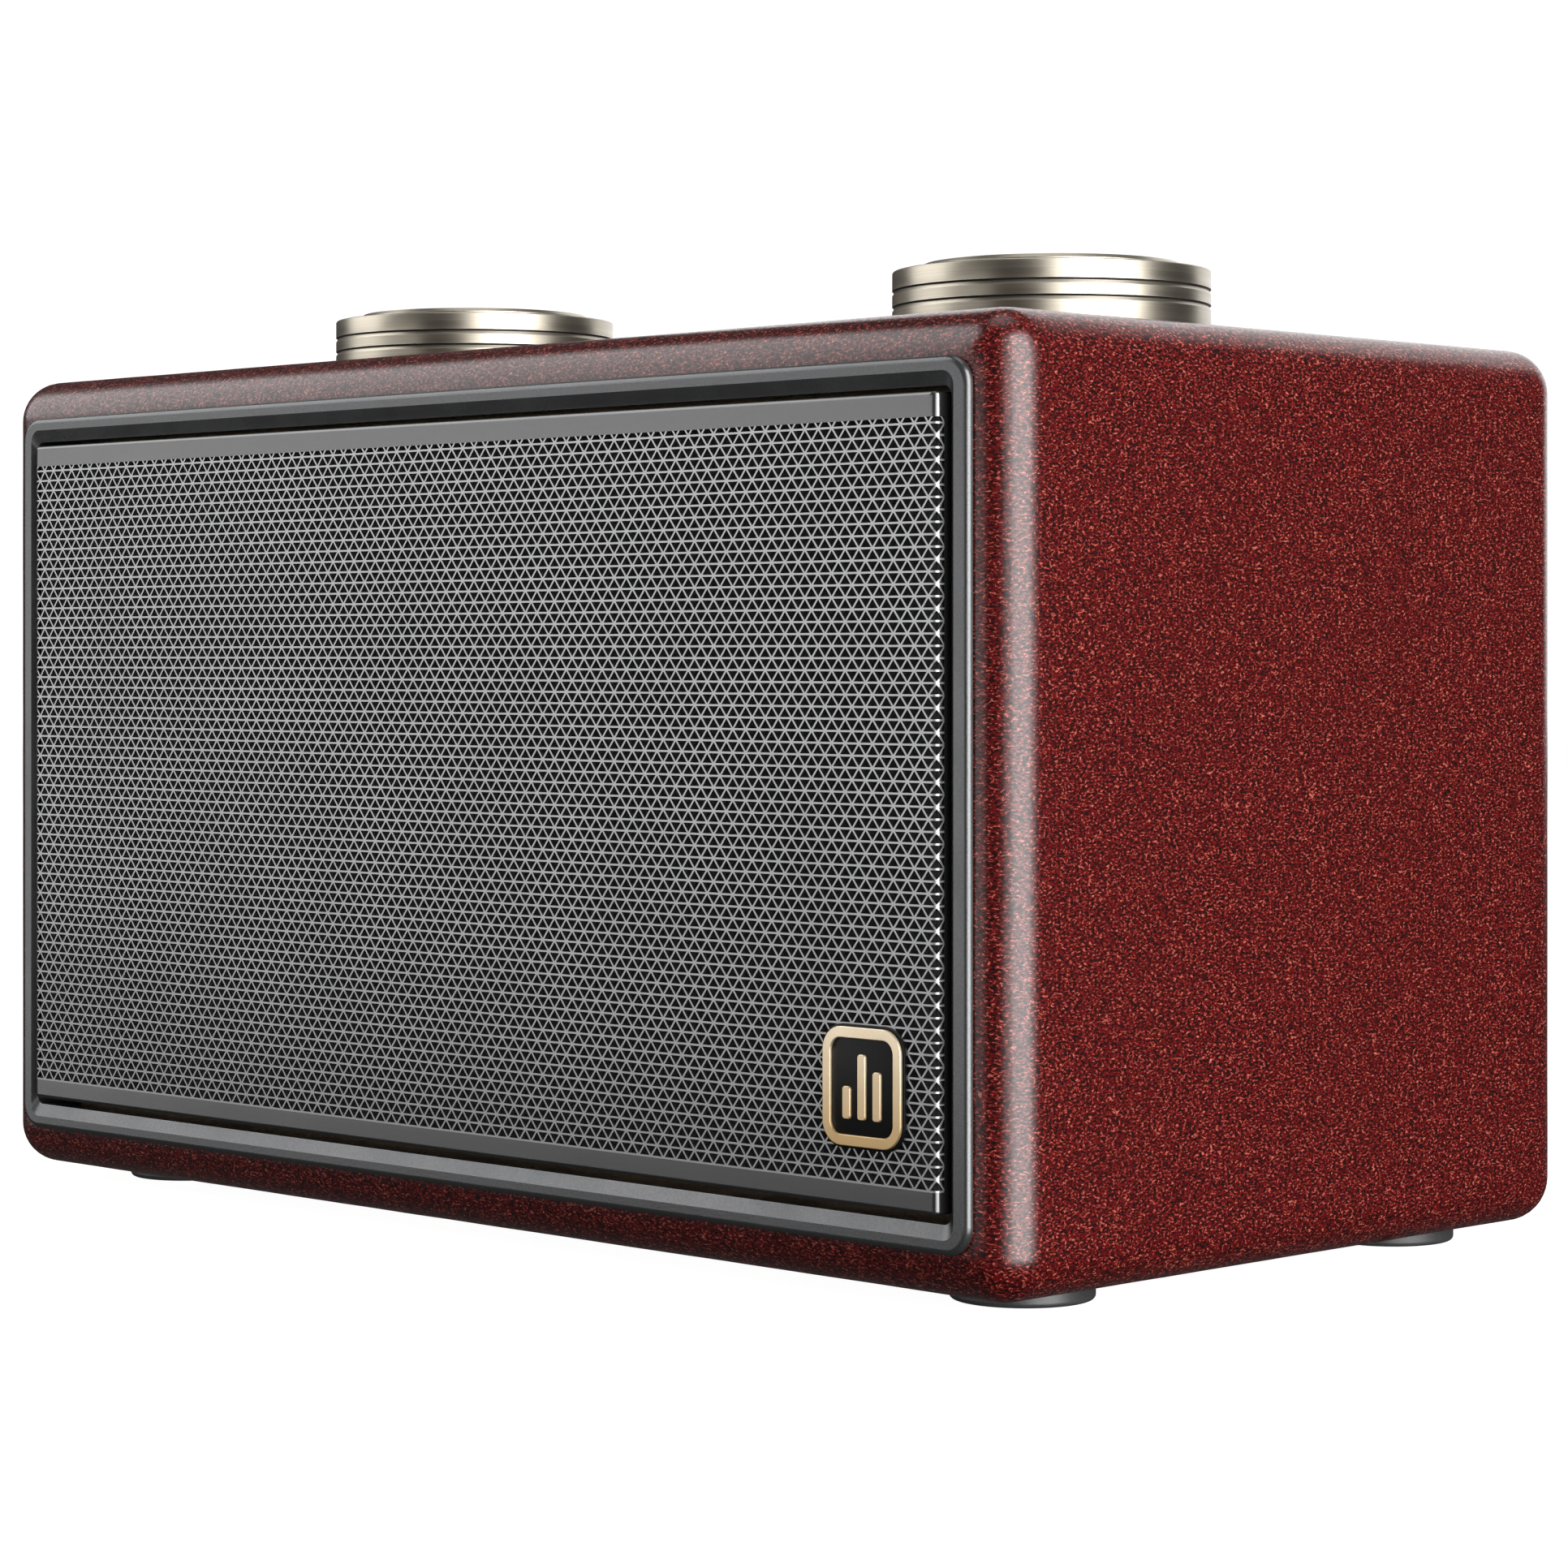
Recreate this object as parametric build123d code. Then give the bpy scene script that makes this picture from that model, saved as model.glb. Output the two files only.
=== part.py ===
from build123d import *

import os
from math import radians, tan

# A leather-wrapped portable radio: two drivers behind a perforated grille, two knobs on top.
# Frame: +X to the listener's right, -Y out of the grille, +Z up. All sizes in millimetres.
# The origin is under the middle of the box, on the surface that the feet stand on.

# ---- driving dimensions ---------------------------------------------------------------------

BODY_WIDTH, BODY_DEPTH, BODY_HEIGHT = 260.0, 143.0, 150.0
EDGE_RADIUS = 7.7
LEATHER = 1.0
BOARD = 9.0
FOOT_HEIGHT = 3.0
FOOT_RADIUS = 11.5
FOOT_EDGE = 0.8
FOOT_X = 108.0
FOOT_FRONT_Y, FOOT_REAR_Y = -44.0, 49.7

BEZEL_PROUD = 1.26
BEZEL_OUTER = (2 * 122.84, 2 * 67.56)
BEZEL_OUTER_CORNER = 4.6
BEZEL_INNER = (2 * 119.99, 2 * 65.25)
BEZEL_INNER_CORNER = 2.4
BEZEL_THROAT = (2 * 118.9, 2 * 63.0)
BEZEL_THROAT_CORNER = 1.6
BEZEL_SLOPE_DEPTH = 0.8
BEZEL_EDGE = 1.0
SLEEVE_GAP = 0.4

GRILLE_PROUD = 2.3
GRILLE_SIZE = (2 * 118.08, 2 * 61.8)
GRILLE_RISE = 0.3
GRILLE_SHEET = 1.0
GRILLE_BEND = 1.65
GRILLE_RETURN = 6.0
FRAME_WALL = 7.0
CLOTH = 0.3

BADGE_SIZE = (17.4, 19.0)
BADGE_CENTRE = (102.6, 31.7)
BADGE_CORNER = 4.2
BADGE_PLATE = 0.5
EMBLEM_LINE = 1.7
EMBLEM_RAISE = 0.4

BAFFLE = 9.0
BAFFLE_FRONT = -62.0

DRIVER_X = 62.0
DRIVER_FLANGE_RADIUS = 44.0
DRIVER_CUTOUT_RADIUS = 38.5
DRIVER_FLANGE = 2.0
DRIVER_SCREW_RADIUS = 41.0
SURROUND_OUTER, SURROUND_INNER = 37.0, 31.0
CONE_NECK_RADIUS = 13.0
CONE_DEPTH = 12.0
CONE_WALL = 0.6
CONE_GAP = 0.35
BASKET_DEPTH = 24.0
MAGNET_RADIUS, MAGNET_DEPTH = 30.0, 14.0
COIL_GAP = 0.8
SPIDER_SHEET = 0.5

REAR_PROUD = GRILLE_PROUD + BADGE_PLATE + EMBLEM_RAISE
REAR_PANEL = 6.0
PORT_RADIUS, PORT_WALL, PORT_LENGTH = 17.0, 2.0, 58.0
PORT_FLARE = 23.0
PORT_FLANGE = 2.0
PORT_X, PORT_RISE = -62.0, 12.0

JACK_PLATE = (92.0, 30.0)
JACK_X, JACK_DROP = 52.0, -30.0
JACK_RECESS = 1.2
USB_MOUTH = (9.0, 3.3)
USB_X, AUX_X, SWITCH_X, LAMP_X = -30.0, -10.0, 12.0, 32.0
AUX_RADIUS = 1.8
SWITCH_TRAVEL = 2.0
SWITCH_KNOB = (5.0, 3.4)

KNOB_X = 75.1
KNOB_RADIUS = 27.0
KNOB_GAP = 1.0
KNOB_RIM_HEIGHT = 12.4
KNOB_DISC_RADIUS, KNOB_DISC_RAISE = 22.3, 1.2
KNOB_DISC_BEVEL = 0.6
KNOB_RIM_BEVEL = 0.35
GROOVE_TOPS = (6.5, 9.2)
GROOVE_HEIGHT, GROOVE_DEPTH, GROOVE_UNDERCUT = 0.9, 0.4, 0.15
KNOB_ROOF = 2.0
HUB_RADIUS = 10.0
BOSS_RADIUS, BOSS_REACH = 6.5, 2.0

SHAFT_RADIUS = 3.0
SHAFT_CLEARANCE = 0.05
BUSHING_RADIUS = 3.5
BUSHING_HEIGHT = 6.5
CONTROL_HOLE_RADIUS = 8.0
BRACKET = (46.0, 30.0, 1.5)
CONTROL_CASE = (17.0, 17.0, 9.0)

SCREW_RADIUS = 1.5
SCREW_HEAD_RADIUS = 3.0
SCREW_HEAD = 2.0
SCREW_SOCKET_RADIUS = 1.1

# ---- levels and planes worked out from the above ----------------------------------------------

BODY_TOP = FOOT_HEIGHT + BODY_HEIGHT
MID_Z = FOOT_HEIGHT + BODY_HEIGHT / 2
FRONT_Y, REAR_Y = -BODY_DEPTH / 2, BODY_DEPTH / 2
SHELL_WIDTH = BODY_WIDTH - 2 * LEATHER
SHELL_DEPTH = BODY_DEPTH - 2 * LEATHER
SHELL_HEIGHT = BODY_HEIGHT - 2 * LEATHER
CAVITY = (SHELL_WIDTH - 2 * BOARD, SHELL_HEIGHT - 2 * BOARD)
CAVITY_CORNER = 2.0
CAVITY_TOP = BODY_TOP - LEATHER - BOARD
CAVITY_FLOOR = FOOT_HEIGHT + LEATHER + BOARD
GRILLE_FRONT = FRONT_Y - GRILLE_PROUD
GRILLE_BACK = GRILLE_FRONT + GRILLE_SHEET
GRILLE_Z = MID_Z + GRILLE_RISE
DRIVER_Z = MID_Z
BAFFLE_BACK = BAFFLE_FRONT + BAFFLE
REAR_PLANE = REAR_Y + REAR_PROUD
REAR_INNER = REAR_PLANE - REAR_PANEL
PORT_Z = MID_Z + PORT_RISE
JACK_Z = MID_Z + JACK_DROP
JACK_FACE = REAR_PLANE - JACK_RECESS
JACK_PLATE_DEPTH = 1.5
JACK_BACK = JACK_FACE - JACK_PLATE_DEPTH
JACK_BOARD_Y = JACK_BACK - 9.0
BRACKET_TOP = CAVITY_TOP
BRACKET_BOTTOM = BRACKET_TOP - BRACKET[2]
KNOB_BOTTOM = BODY_TOP + KNOB_GAP
KNOB_RIM_TOP = BODY_TOP + KNOB_RIM_HEIGHT


# ---- small helpers ----------------------------------------------------------------------------

def slab(sketch, y_front, y_back):
    """Solid with a section drawn in X and Z, reaching from y_front back to y_back."""
    return extrude(Plane.XZ.offset(-y_back) * sketch, y_back - y_front)


def rounded(size, corner, x=0.0, z=0.0):
    """Rounded rectangle in the X-Z drawing plane, centred on x, z."""
    return Pos(x, z) * RectangleRounded(size[0], size[1], corner)


def disc(radius, x=0.0, z=0.0):
    return Pos(x, z) * Circle(radius)


def post(radius, x, y, z_low, z_high):
    """Upright cylinder between two levels."""
    return Pos(x, y, (z_low + z_high) / 2) * Cylinder(radius, z_high - z_low)


def block(size, x, y, z_low):
    """Box that stands on z_low, centred on x, y."""
    return Pos(x, y, z_low + size[2] / 2) * Box(*size)


def soft_box(width, depth, height, radius, z_low):
    """Box with every edge rounded."""
    body = block((width, depth, height), 0, 0, z_low)
    return fillet(body.edges(), radius)


def upright_screw(x, y, z_seat, length, up=True):
    """Pan-head screw with a socket. Its head sits on z_seat; the shank runs down, or up if not up."""
    sign = 1 if up else -1
    shank = Pos(x, y, z_seat - sign * length / 2) * Cylinder(SCREW_RADIUS, length)
    head = Pos(x, y, z_seat + sign * SCREW_HEAD / 2) * Cylinder(SCREW_HEAD_RADIUS, SCREW_HEAD)
    socket = Pos(x, y, z_seat + sign * SCREW_HEAD) * Cylinder(SCREW_SOCKET_RADIUS, SCREW_HEAD)
    return shank + head - socket


def level_screw(x, z, y_seat, length, forward):
    """Pan-head screw along Y. Its head sits on y_seat and points to -Y if forward, else to +Y."""
    sign = -1 if forward else 1
    turn = Rot(90, 0, 0)
    shank = Pos(x, y_seat - sign * length / 2, z) * turn * Cylinder(SCREW_RADIUS, length)
    head = Pos(x, y_seat + sign * SCREW_HEAD / 2, z) * turn * Cylinder(SCREW_HEAD_RADIUS, SCREW_HEAD)
    socket = Pos(x, y_seat + sign * SCREW_HEAD, z) * turn * Cylinder(SCREW_SOCKET_RADIUS, SCREW_HEAD)
    return shank + head - socket


def turned(points, x, y, z):
    """Solid of revolution about an upright axis, from (radius, height) points."""
    face = make_face(Plane.XZ * Polyline(*points, close=True))
    return Pos(x, y, z) * revolve(face, Axis.Z)


def turned_level(points, x, y, z):
    """Solid of revolution about an axis along Y, from (radius, distance back from y) points."""
    face = make_face(Polyline(*points, close=True))
    return Pos(x, y, z) * revolve(face, Axis.Y)


def four_corners(x, z):
    return [(-x, -z), (x, -z), (-x, z), (x, z)]


# ---- cabinet ----------------------------------------------------------------------------------

FOOT_PLACES = {
    "front_left_foot": (-FOOT_X, FOOT_FRONT_Y),
    "front_right_foot": (FOOT_X, FOOT_FRONT_Y),
    "rear_left_foot": (-FOOT_X, FOOT_REAR_Y),
    "rear_right_foot": (FOOT_X, FOOT_REAR_Y),
}
FOOT_SCREW_SEAT = 2.3
FOOT_SCREW_LENGTH = 8.0
WELL_RADIUS = SCREW_HEAD_RADIUS + 0.3
CORNER_BLOCK = (14.0, 12.0, 14.0)


def foot_screw(x, y):
    return upright_screw(x, y, FOOT_SCREW_SEAT, FOOT_SCREW_LENGTH, up=False)


def foot(x, y):
    """Rubber pad with a rounded lower edge and a well for its screw."""
    pad = post(FOOT_RADIUS, x, y, 0, FOOT_HEIGHT)
    pad = fillet(pad.edges().group_by(Axis.Z)[0], FOOT_EDGE)
    pad -= post(WELL_RADIUS, x, y, -1, FOOT_SCREW_SEAT)
    return pad - post(SCREW_RADIUS, x, y, 0, FOOT_HEIGHT + 1)


def cavity_tool():
    """The opening that runs through the box from front to back."""
    return slab(rounded(CAVITY, CAVITY_CORNER, 0, MID_Z), FRONT_Y - 5, REAR_Y + 5)


def cabinet_cuts(body):
    """Cut the main opening, the two control holes and the foot-screw holes from a box skin."""
    body -= cavity_tool()
    for x in (-KNOB_X, KNOB_X):
        body -= post(CONTROL_HOLE_RADIUS, x, 0, CAVITY_TOP - 1, BODY_TOP + 1)
    for x, y in FOOT_PLACES.values():
        body -= foot_screw(x, y)
    return body


def inner_box():
    return soft_box(SHELL_WIDTH, SHELL_DEPTH, SHELL_HEIGHT, EDGE_RADIUS - LEATHER,
                    FOOT_HEIGHT + LEATHER)


def corner_block_places():
    """Centres of the glued blocks in the cavity's corners, which the rear screws bite into."""
    return four_corners((CAVITY[0] - CORNER_BLOCK[0]) / 2, (CAVITY[1] - CORNER_BLOCK[2]) / 2)


def cabinet_shell():
    body = cabinet_cuts(inner_box())
    for x, z in corner_block_places():
        body += Pos(x, REAR_INNER - CORNER_BLOCK[1] / 2, MID_Z + z) * Box(*CORNER_BLOCK)
        body -= slab(disc(SCREW_RADIUS, x, MID_Z + z), REAR_SCREW_SEAT - REAR_SCREW_LENGTH, REAR_INNER)
    for x in (-KNOB_X, KNOB_X):
        for screw_x, screw_y in bracket_screw_places(x):
            body -= upright_screw(screw_x, screw_y, BRACKET_BOTTOM, BRACKET_SCREW_LENGTH, up=False)
    return body


def leather_wrap():
    outer = soft_box(BODY_WIDTH, BODY_DEPTH, BODY_HEIGHT, EDGE_RADIUS, FOOT_HEIGHT)
    return cabinet_cuts(outer - inner_box())


# ---- front ------------------------------------------------------------------------------------

def front_bezel():
    """Frame with a rounded lip over the leather and a sleeve that reaches into the box."""
    face = FRONT_Y - BEZEL_PROUD
    lip = slab(rounded(BEZEL_OUTER, BEZEL_OUTER_CORNER, 0, MID_Z), face, FRONT_Y)
    lip = fillet(lip.edges().group_by(Axis.Y)[0], BEZEL_EDGE)
    sleeve_size = (CAVITY[0] - 2 * SLEEVE_GAP, CAVITY[1] - 2 * SLEEVE_GAP)
    sleeve = slab(rounded(sleeve_size, CAVITY_CORNER, 0, MID_Z), FRONT_Y, BAFFLE_FRONT)
    mouth = loft([
        Plane.XZ.offset(-face) * rounded(BEZEL_INNER, BEZEL_INNER_CORNER, 0, MID_Z),
        Plane.XZ.offset(-face - BEZEL_SLOPE_DEPTH) * rounded(BEZEL_THROAT, BEZEL_THROAT_CORNER, 0, MID_Z),
    ])
    throat = slab(rounded(BEZEL_THROAT, BEZEL_THROAT_CORNER, 0, MID_Z),
                  face + BEZEL_SLOPE_DEPTH, BAFFLE_FRONT + 1)
    return lip + sleeve - mouth - throat


def grille_panel():
    """Steel sheet whose left and right ends bend back towards the baffle."""
    width, height = GRILLE_SIZE
    solid = block((width, GRILLE_RETURN, height), 0, GRILLE_FRONT + GRILLE_RETURN / 2,
                  GRILLE_Z - height / 2)
    front_corners = solid.edges().filter_by(Axis.Z).group_by(Axis.Y)[0]
    solid = fillet(front_corners, GRILLE_BEND)
    core = block((width - 2 * GRILLE_SHEET, GRILLE_RETURN, height + 2), 0,
                 GRILLE_BACK + GRILLE_RETURN / 2, GRILLE_Z - height / 2 - 1)
    core = fillet(core.edges().filter_by(Axis.Z).group_by(Axis.Y)[0], GRILLE_BEND - GRILLE_SHEET)
    return solid - core


def grille_frame():
    """Flat ring behind the grille, pegged to the baffle, that the sheet and cloth are fixed to."""
    outer = (GRILLE_SIZE[0] - 2 * GRILLE_SHEET - 0.4, GRILLE_SIZE[1] - 0.4)
    inner = (outer[0] - 2 * FRAME_WALL, outer[1] - 2 * FRAME_WALL)
    ring = rounded(outer, 1.0, 0, GRILLE_Z) - rounded(inner, 3.0, 0, GRILLE_Z)
    bar = Pos(0, GRILLE_Z) * Rectangle(FRAME_WALL, inner[1] + 1)
    return slab(ring + bar, GRILLE_BACK + CLOTH, BAFFLE_FRONT)


def grille_cloth():
    outer = (GRILLE_SIZE[0] - 2 * GRILLE_SHEET - 1.4, GRILLE_SIZE[1] - 0.4)
    return slab(rounded(outer, 1.0, 0, GRILLE_Z), GRILLE_BACK, GRILLE_BACK + CLOTH)


def badge_plate():
    x, rise = BADGE_CENTRE
    return slab(rounded(BADGE_SIZE, BADGE_CORNER, x, FOOT_HEIGHT + rise),
                GRILLE_FRONT - BADGE_PLATE, GRILLE_FRONT)


def badge_emblem():
    """Rounded border with three plain upright bars, like a level meter."""
    x, rise = BADGE_CENTRE
    z = FOOT_HEIGHT + rise
    margin = 0.4
    outer = (BADGE_SIZE[0] - 2 * margin, BADGE_SIZE[1] - 2 * margin)
    inner = (outer[0] - 2 * EMBLEM_LINE, outer[1] - 2 * EMBLEM_LINE)
    border = rounded(outer, BADGE_CORNER - margin, x, z) - rounded(
        inner, BADGE_CORNER - margin - EMBLEM_LINE, x, z)
    front, back = GRILLE_FRONT - BADGE_PLATE - EMBLEM_RAISE, GRILLE_FRONT - BADGE_PLATE
    pieces = [slab(border, front, back)]
    bar_pitch, bar_bottom = 3.2, z - 5.0
    for step, bar_height in enumerate((5.0, 10.0, 7.5)):
        bar = rounded((EMBLEM_LINE, bar_height), 0.5, x + (step - 1) * bar_pitch,
                      bar_bottom + bar_height / 2)
        pieces.append(slab(bar, front, back))
    return Compound(children=pieces)


def front_baffle():
    board_size = (CAVITY[0] - 0.2, CAVITY[1] - 0.2)
    board = slab(rounded(board_size, CAVITY_CORNER, 0, MID_Z), BAFFLE_FRONT, BAFFLE_BACK)
    for x in (-DRIVER_X, DRIVER_X):
        board -= slab(disc(DRIVER_CUTOUT_RADIUS, x, DRIVER_Z), BAFFLE_FRONT - 1, BAFFLE_BACK + 1)
        for screw_x, screw_z in driver_screw_places(x):
            board -= slab(disc(SCREW_RADIUS, screw_x, screw_z), BAFFLE_FRONT - 1, BAFFLE_BACK + 1)
    return board


# ---- drivers ----------------------------------------------------------------------------------

DRIVER_SCREW_LENGTH = 9.0
DRIVER_FACE = BAFFLE_FRONT - DRIVER_FLANGE
CONE_RIM_Y = DRIVER_FACE + 0.6
CONE_NECK_Y = CONE_RIM_Y + CONE_DEPTH
BASKET_BACK = DRIVER_FACE + BASKET_DEPTH
TOP_PLATE = 4.0
COIL_RADIUS = 12.5
COIL_WALL = 0.5
POLE_RADIUS = COIL_RADIUS - COIL_WALL - COIL_GAP
MAGNET_HOLE = COIL_RADIUS + COIL_GAP
SPIDER_Y = CONE_NECK_Y + 4.0
SPIDER_RINGS, SPIDER_STEP, SPIDER_WAVE = 6, 2.7, 0.7
SPIDER_RADIUS = COIL_RADIUS + CONE_GAP + SPIDER_RINGS * SPIDER_STEP
SPIDER_LEDGE_RADIUS = SPIDER_RADIUS + 1.2
SPIDER_BACK = SPIDER_Y + SPIDER_SHEET


def driver_screw_places(x):
    reach = DRIVER_SCREW_RADIUS * 0.70711
    return [(x + a, DRIVER_Z + b) for a, b in four_corners(reach, reach)]


def driver_basket(x):
    """Pressed frame: flange, tapering wall with four windows, and a ring that holds the magnet."""
    wall = 1.2
    flange_y, back = DRIVER_FACE, BASKET_BACK
    shell_front, shell_back = DRIVER_CUTOUT_RADIUS - 0.5, MAGNET_RADIUS - 2
    depth = back - flange_y
    outline = [
        (SURROUND_OUTER - 1.5, 0), (DRIVER_FLANGE_RADIUS, 0),
        (DRIVER_FLANGE_RADIUS, DRIVER_FLANGE), (shell_front, DRIVER_FLANGE),
        (shell_back, depth), (MAGNET_HOLE + 2, depth), (MAGNET_HOLE + 2, depth - wall),
        (shell_back - wall, depth - wall), (shell_front - wall - 1, DRIVER_FLANGE),
        (SURROUND_OUTER - 1.5, DRIVER_FLANGE),
    ]
    body = turned_level(outline, x, flange_y, DRIVER_Z)
    window = Box(20, depth - 10, 100)
    centre = Pos(x, flange_y + depth / 2 + 2.5, DRIVER_Z)
    body -= centre * Rot(0, 45, 0) * window
    body -= centre * Rot(0, -45, 0) * window
    ledge = disc(SPIDER_LEDGE_RADIUS, x, DRIVER_Z) - disc(SPIDER_RADIUS - 2, x, DRIVER_Z)
    body += slab(ledge, SPIDER_BACK, SPIDER_BACK + wall)
    for screw_x, screw_z in driver_screw_places(x):
        body -= slab(disc(SCREW_RADIUS, screw_x, screw_z), flange_y - 1, flange_y + DRIVER_FLANGE + 1)
    return body


def driver_magnet(x):
    """Top plate, ferrite ring and back plate with its pole, as one glued motor."""
    outline = [
        (MAGNET_HOLE, 0), (MAGNET_RADIUS - 2, 0), (MAGNET_RADIUS - 2, TOP_PLATE),
        (MAGNET_RADIUS, TOP_PLATE), (MAGNET_RADIUS, TOP_PLATE + MAGNET_DEPTH),
        (MAGNET_RADIUS - 2, TOP_PLATE + MAGNET_DEPTH),
        (MAGNET_RADIUS - 2, TOP_PLATE + MAGNET_DEPTH + TOP_PLATE),
        (0, TOP_PLATE + MAGNET_DEPTH + TOP_PLATE), (0, 0), (POLE_RADIUS, 0),
        (POLE_RADIUS, TOP_PLATE + MAGNET_DEPTH), (MAGNET_HOLE, TOP_PLATE + MAGNET_DEPTH),
    ]
    return turned_level(outline, x, BASKET_BACK, DRIVER_Z)


def driver_cone(x):
    """One-piece paper cone whose middle closes in a shallow dome."""
    rim, neck = SURROUND_INNER, CONE_NECK_RADIUS
    depth, wall = CONE_DEPTH, CONE_WALL
    outline = [
        (rim, 0), (neck, depth - 1), (neck * 0.75, depth - 4), (neck * 0.4, depth - 5.6), (0, depth - 6),
        (0, depth - 6 + wall), (neck * 0.4, depth - 5.6 + wall), (neck * 0.75, depth - 4 + wall),
        (neck - 1, depth), (neck, depth), (rim, wall + 0.4),
    ]
    return turned_level(outline, x, CONE_RIM_Y, DRIVER_Z)


def driver_surround(x):
    """Half-roll rubber edge between the basket and the cone."""
    sheet = 0.6
    inner, outer = SURROUND_INNER + CONE_GAP, SURROUND_OUTER
    middle, roll = (inner + outer - 1.5) / 2, 1.8
    with BuildPart() as part:
        with BuildSketch(Plane.XY):
            with BuildLine():
                Polyline((outer, 0), (middle + roll, 0))
                ThreePointArc((middle + roll, 0), (middle, -roll), (middle - roll, 0))
                Polyline((middle - roll, 0), (inner, 0), (inner, sheet), (middle - roll + sheet, sheet))
                ThreePointArc((middle - roll + sheet, sheet), (middle, sheet - roll),
                              (middle + roll - sheet, sheet))
                Polyline((middle + roll - sheet, sheet), (outer, sheet), (outer, 0))
            make_face()
        revolve(axis=Axis.Y)
    return Pos(x, DRIVER_FACE - sheet, DRIVER_Z) * part.part


def voice_coil(x):
    """Thin tube from the cone's neck into the magnet's gap."""
    length = BASKET_BACK + TOP_PLATE + 2 - CONE_NECK_Y
    outline = [(COIL_RADIUS - COIL_WALL, 0), (COIL_RADIUS, 0), (COIL_RADIUS, length),
               (COIL_RADIUS - COIL_WALL, length)]
    return turned_level(outline, x, CONE_NECK_Y, DRIVER_Z)


def driver_spider(x):
    """Corrugated centring disc between the coil and the basket."""
    inner = COIL_RADIUS + CONE_GAP
    front, back = [], []
    for ring in range(SPIDER_RINGS + 1):
        radius = inner + ring * SPIDER_STEP
        wave = -SPIDER_WAVE if ring % 2 else 0.0
        front.append((radius, wave))
        back.append((radius, wave + SPIDER_SHEET))
    return turned_level(front + back[::-1], x, SPIDER_Y, DRIVER_Z)


def driver_screws():
    screws = []
    for x in (-DRIVER_X, DRIVER_X):
        for screw_x, screw_z in driver_screw_places(x):
            screws.append(level_screw(screw_x, screw_z, DRIVER_FACE, DRIVER_SCREW_LENGTH, forward=True))
    return Compound(children=screws)


# ---- rear -------------------------------------------------------------------------------------

REAR_SCREW_LENGTH = 9.0
REAR_SCREW_SEAT = REAR_PLANE - SCREW_HEAD
JACK_SCREW_LENGTH = 2.5
USB_SHELL = (USB_MOUTH[0] + 0.6, USB_MOUTH[1] + 0.6)
AUX_BODY = (7.0, 6.4)
SWITCH_CASE = (14.0, 8.0)
LAMP_RADIUS = 1.4
JACK_POSTS = (-20.0, 25.0)
JACK_POST_RADIUS = 2.0
SOCKET_GAP = 0.4


def jack_screw_places():
    reach = JACK_PLATE[0] / 2 - 4
    return [(JACK_X - reach, JACK_Z), (JACK_X + reach, JACK_Z)]


def grown(size, offset):
    """Opening in the back for a socket of this size, offset along the jack plate."""
    width, height = size[0] + 2 * SOCKET_GAP, size[1] + 2 * SOCKET_GAP
    return rounded((width, height), 0.9, JACK_X + offset, JACK_Z)


def rear_panel():
    """Moulded back with a proud rounded lip, like the bezel's, and recesses for what it carries."""
    lip = slab(rounded(BEZEL_OUTER, BEZEL_OUTER_CORNER, 0, MID_Z), REAR_Y, REAR_PLANE)
    lip = fillet(lip.edges().group_by(Axis.Y)[-1], BEZEL_EDGE)
    plug_size = (CAVITY[0] - 2 * SLEEVE_GAP, CAVITY[1] - 2 * SLEEVE_GAP)
    plug = slab(rounded(plug_size, CAVITY_CORNER, 0, MID_Z), REAR_INNER, REAR_Y)
    body = lip + plug
    for x, z in corner_block_places():
        body -= slab(disc(WELL_RADIUS, x, MID_Z + z), REAR_SCREW_SEAT, REAR_PLANE + 1)
        body -= slab(disc(SCREW_RADIUS, x, MID_Z + z), REAR_SCREW_SEAT - REAR_SCREW_LENGTH,
                     REAR_SCREW_SEAT + 1)
    body -= slab(rounded(JACK_PLATE, 3.0, JACK_X, JACK_Z), JACK_BACK, REAR_PLANE + 1)
    post_size = (2 * JACK_POST_RADIUS, 2 * JACK_POST_RADIUS)
    windows = [grown(USB_SHELL, USB_X), grown(AUX_BODY, AUX_X), grown(SWITCH_CASE, SWITCH_X),
               grown((2 * LAMP_RADIUS, 2 * LAMP_RADIUS), LAMP_X)]
    windows += [grown(post_size, offset) for offset in JACK_POSTS]
    for window in windows:
        body -= slab(window, REAR_INNER - 1, REAR_PLANE + 1)
    for x, z in jack_screw_places():
        body -= slab(disc(SCREW_RADIUS, x, z), JACK_BACK - JACK_SCREW_LENGTH, JACK_BACK + 1)
    body -= slab(disc(PORT_FLARE, PORT_X, PORT_Z), REAR_PLANE - PORT_FLANGE, REAR_PLANE + 1)
    body -= slab(disc(PORT_RADIUS + PORT_WALL, PORT_X, PORT_Z), REAR_INNER - 1, REAR_PLANE + 1)
    return body


def rear_panel_screws():
    return Compound(children=[
        level_screw(x, MID_Z + z, REAR_SCREW_SEAT, REAR_SCREW_LENGTH, forward=False)
        for x, z in corner_block_places()])


def bass_port():
    """Flanged tube with a flared mouth, open at both ends."""
    length = PORT_LENGTH
    tube = PORT_RADIUS + PORT_WALL
    flare = 3.0
    outline = [
        (PORT_RADIUS + flare, 0), (PORT_FLARE - 0.2, 0), (PORT_FLARE - 0.2, -PORT_FLANGE),
        (tube - 0.1, -PORT_FLANGE), (tube - 0.1, -length), (PORT_RADIUS, -length),
        (PORT_RADIUS, -flare * 1.6), (PORT_RADIUS + flare * 0.25, -flare * 0.7),
    ]
    return turned_level(outline, PORT_X, REAR_PLANE, PORT_Z)


def switch_slot():
    return (SWITCH_KNOB[0] + 2 * SWITCH_TRAVEL + 0.8, SWITCH_KNOB[1] + 0.8)


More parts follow.
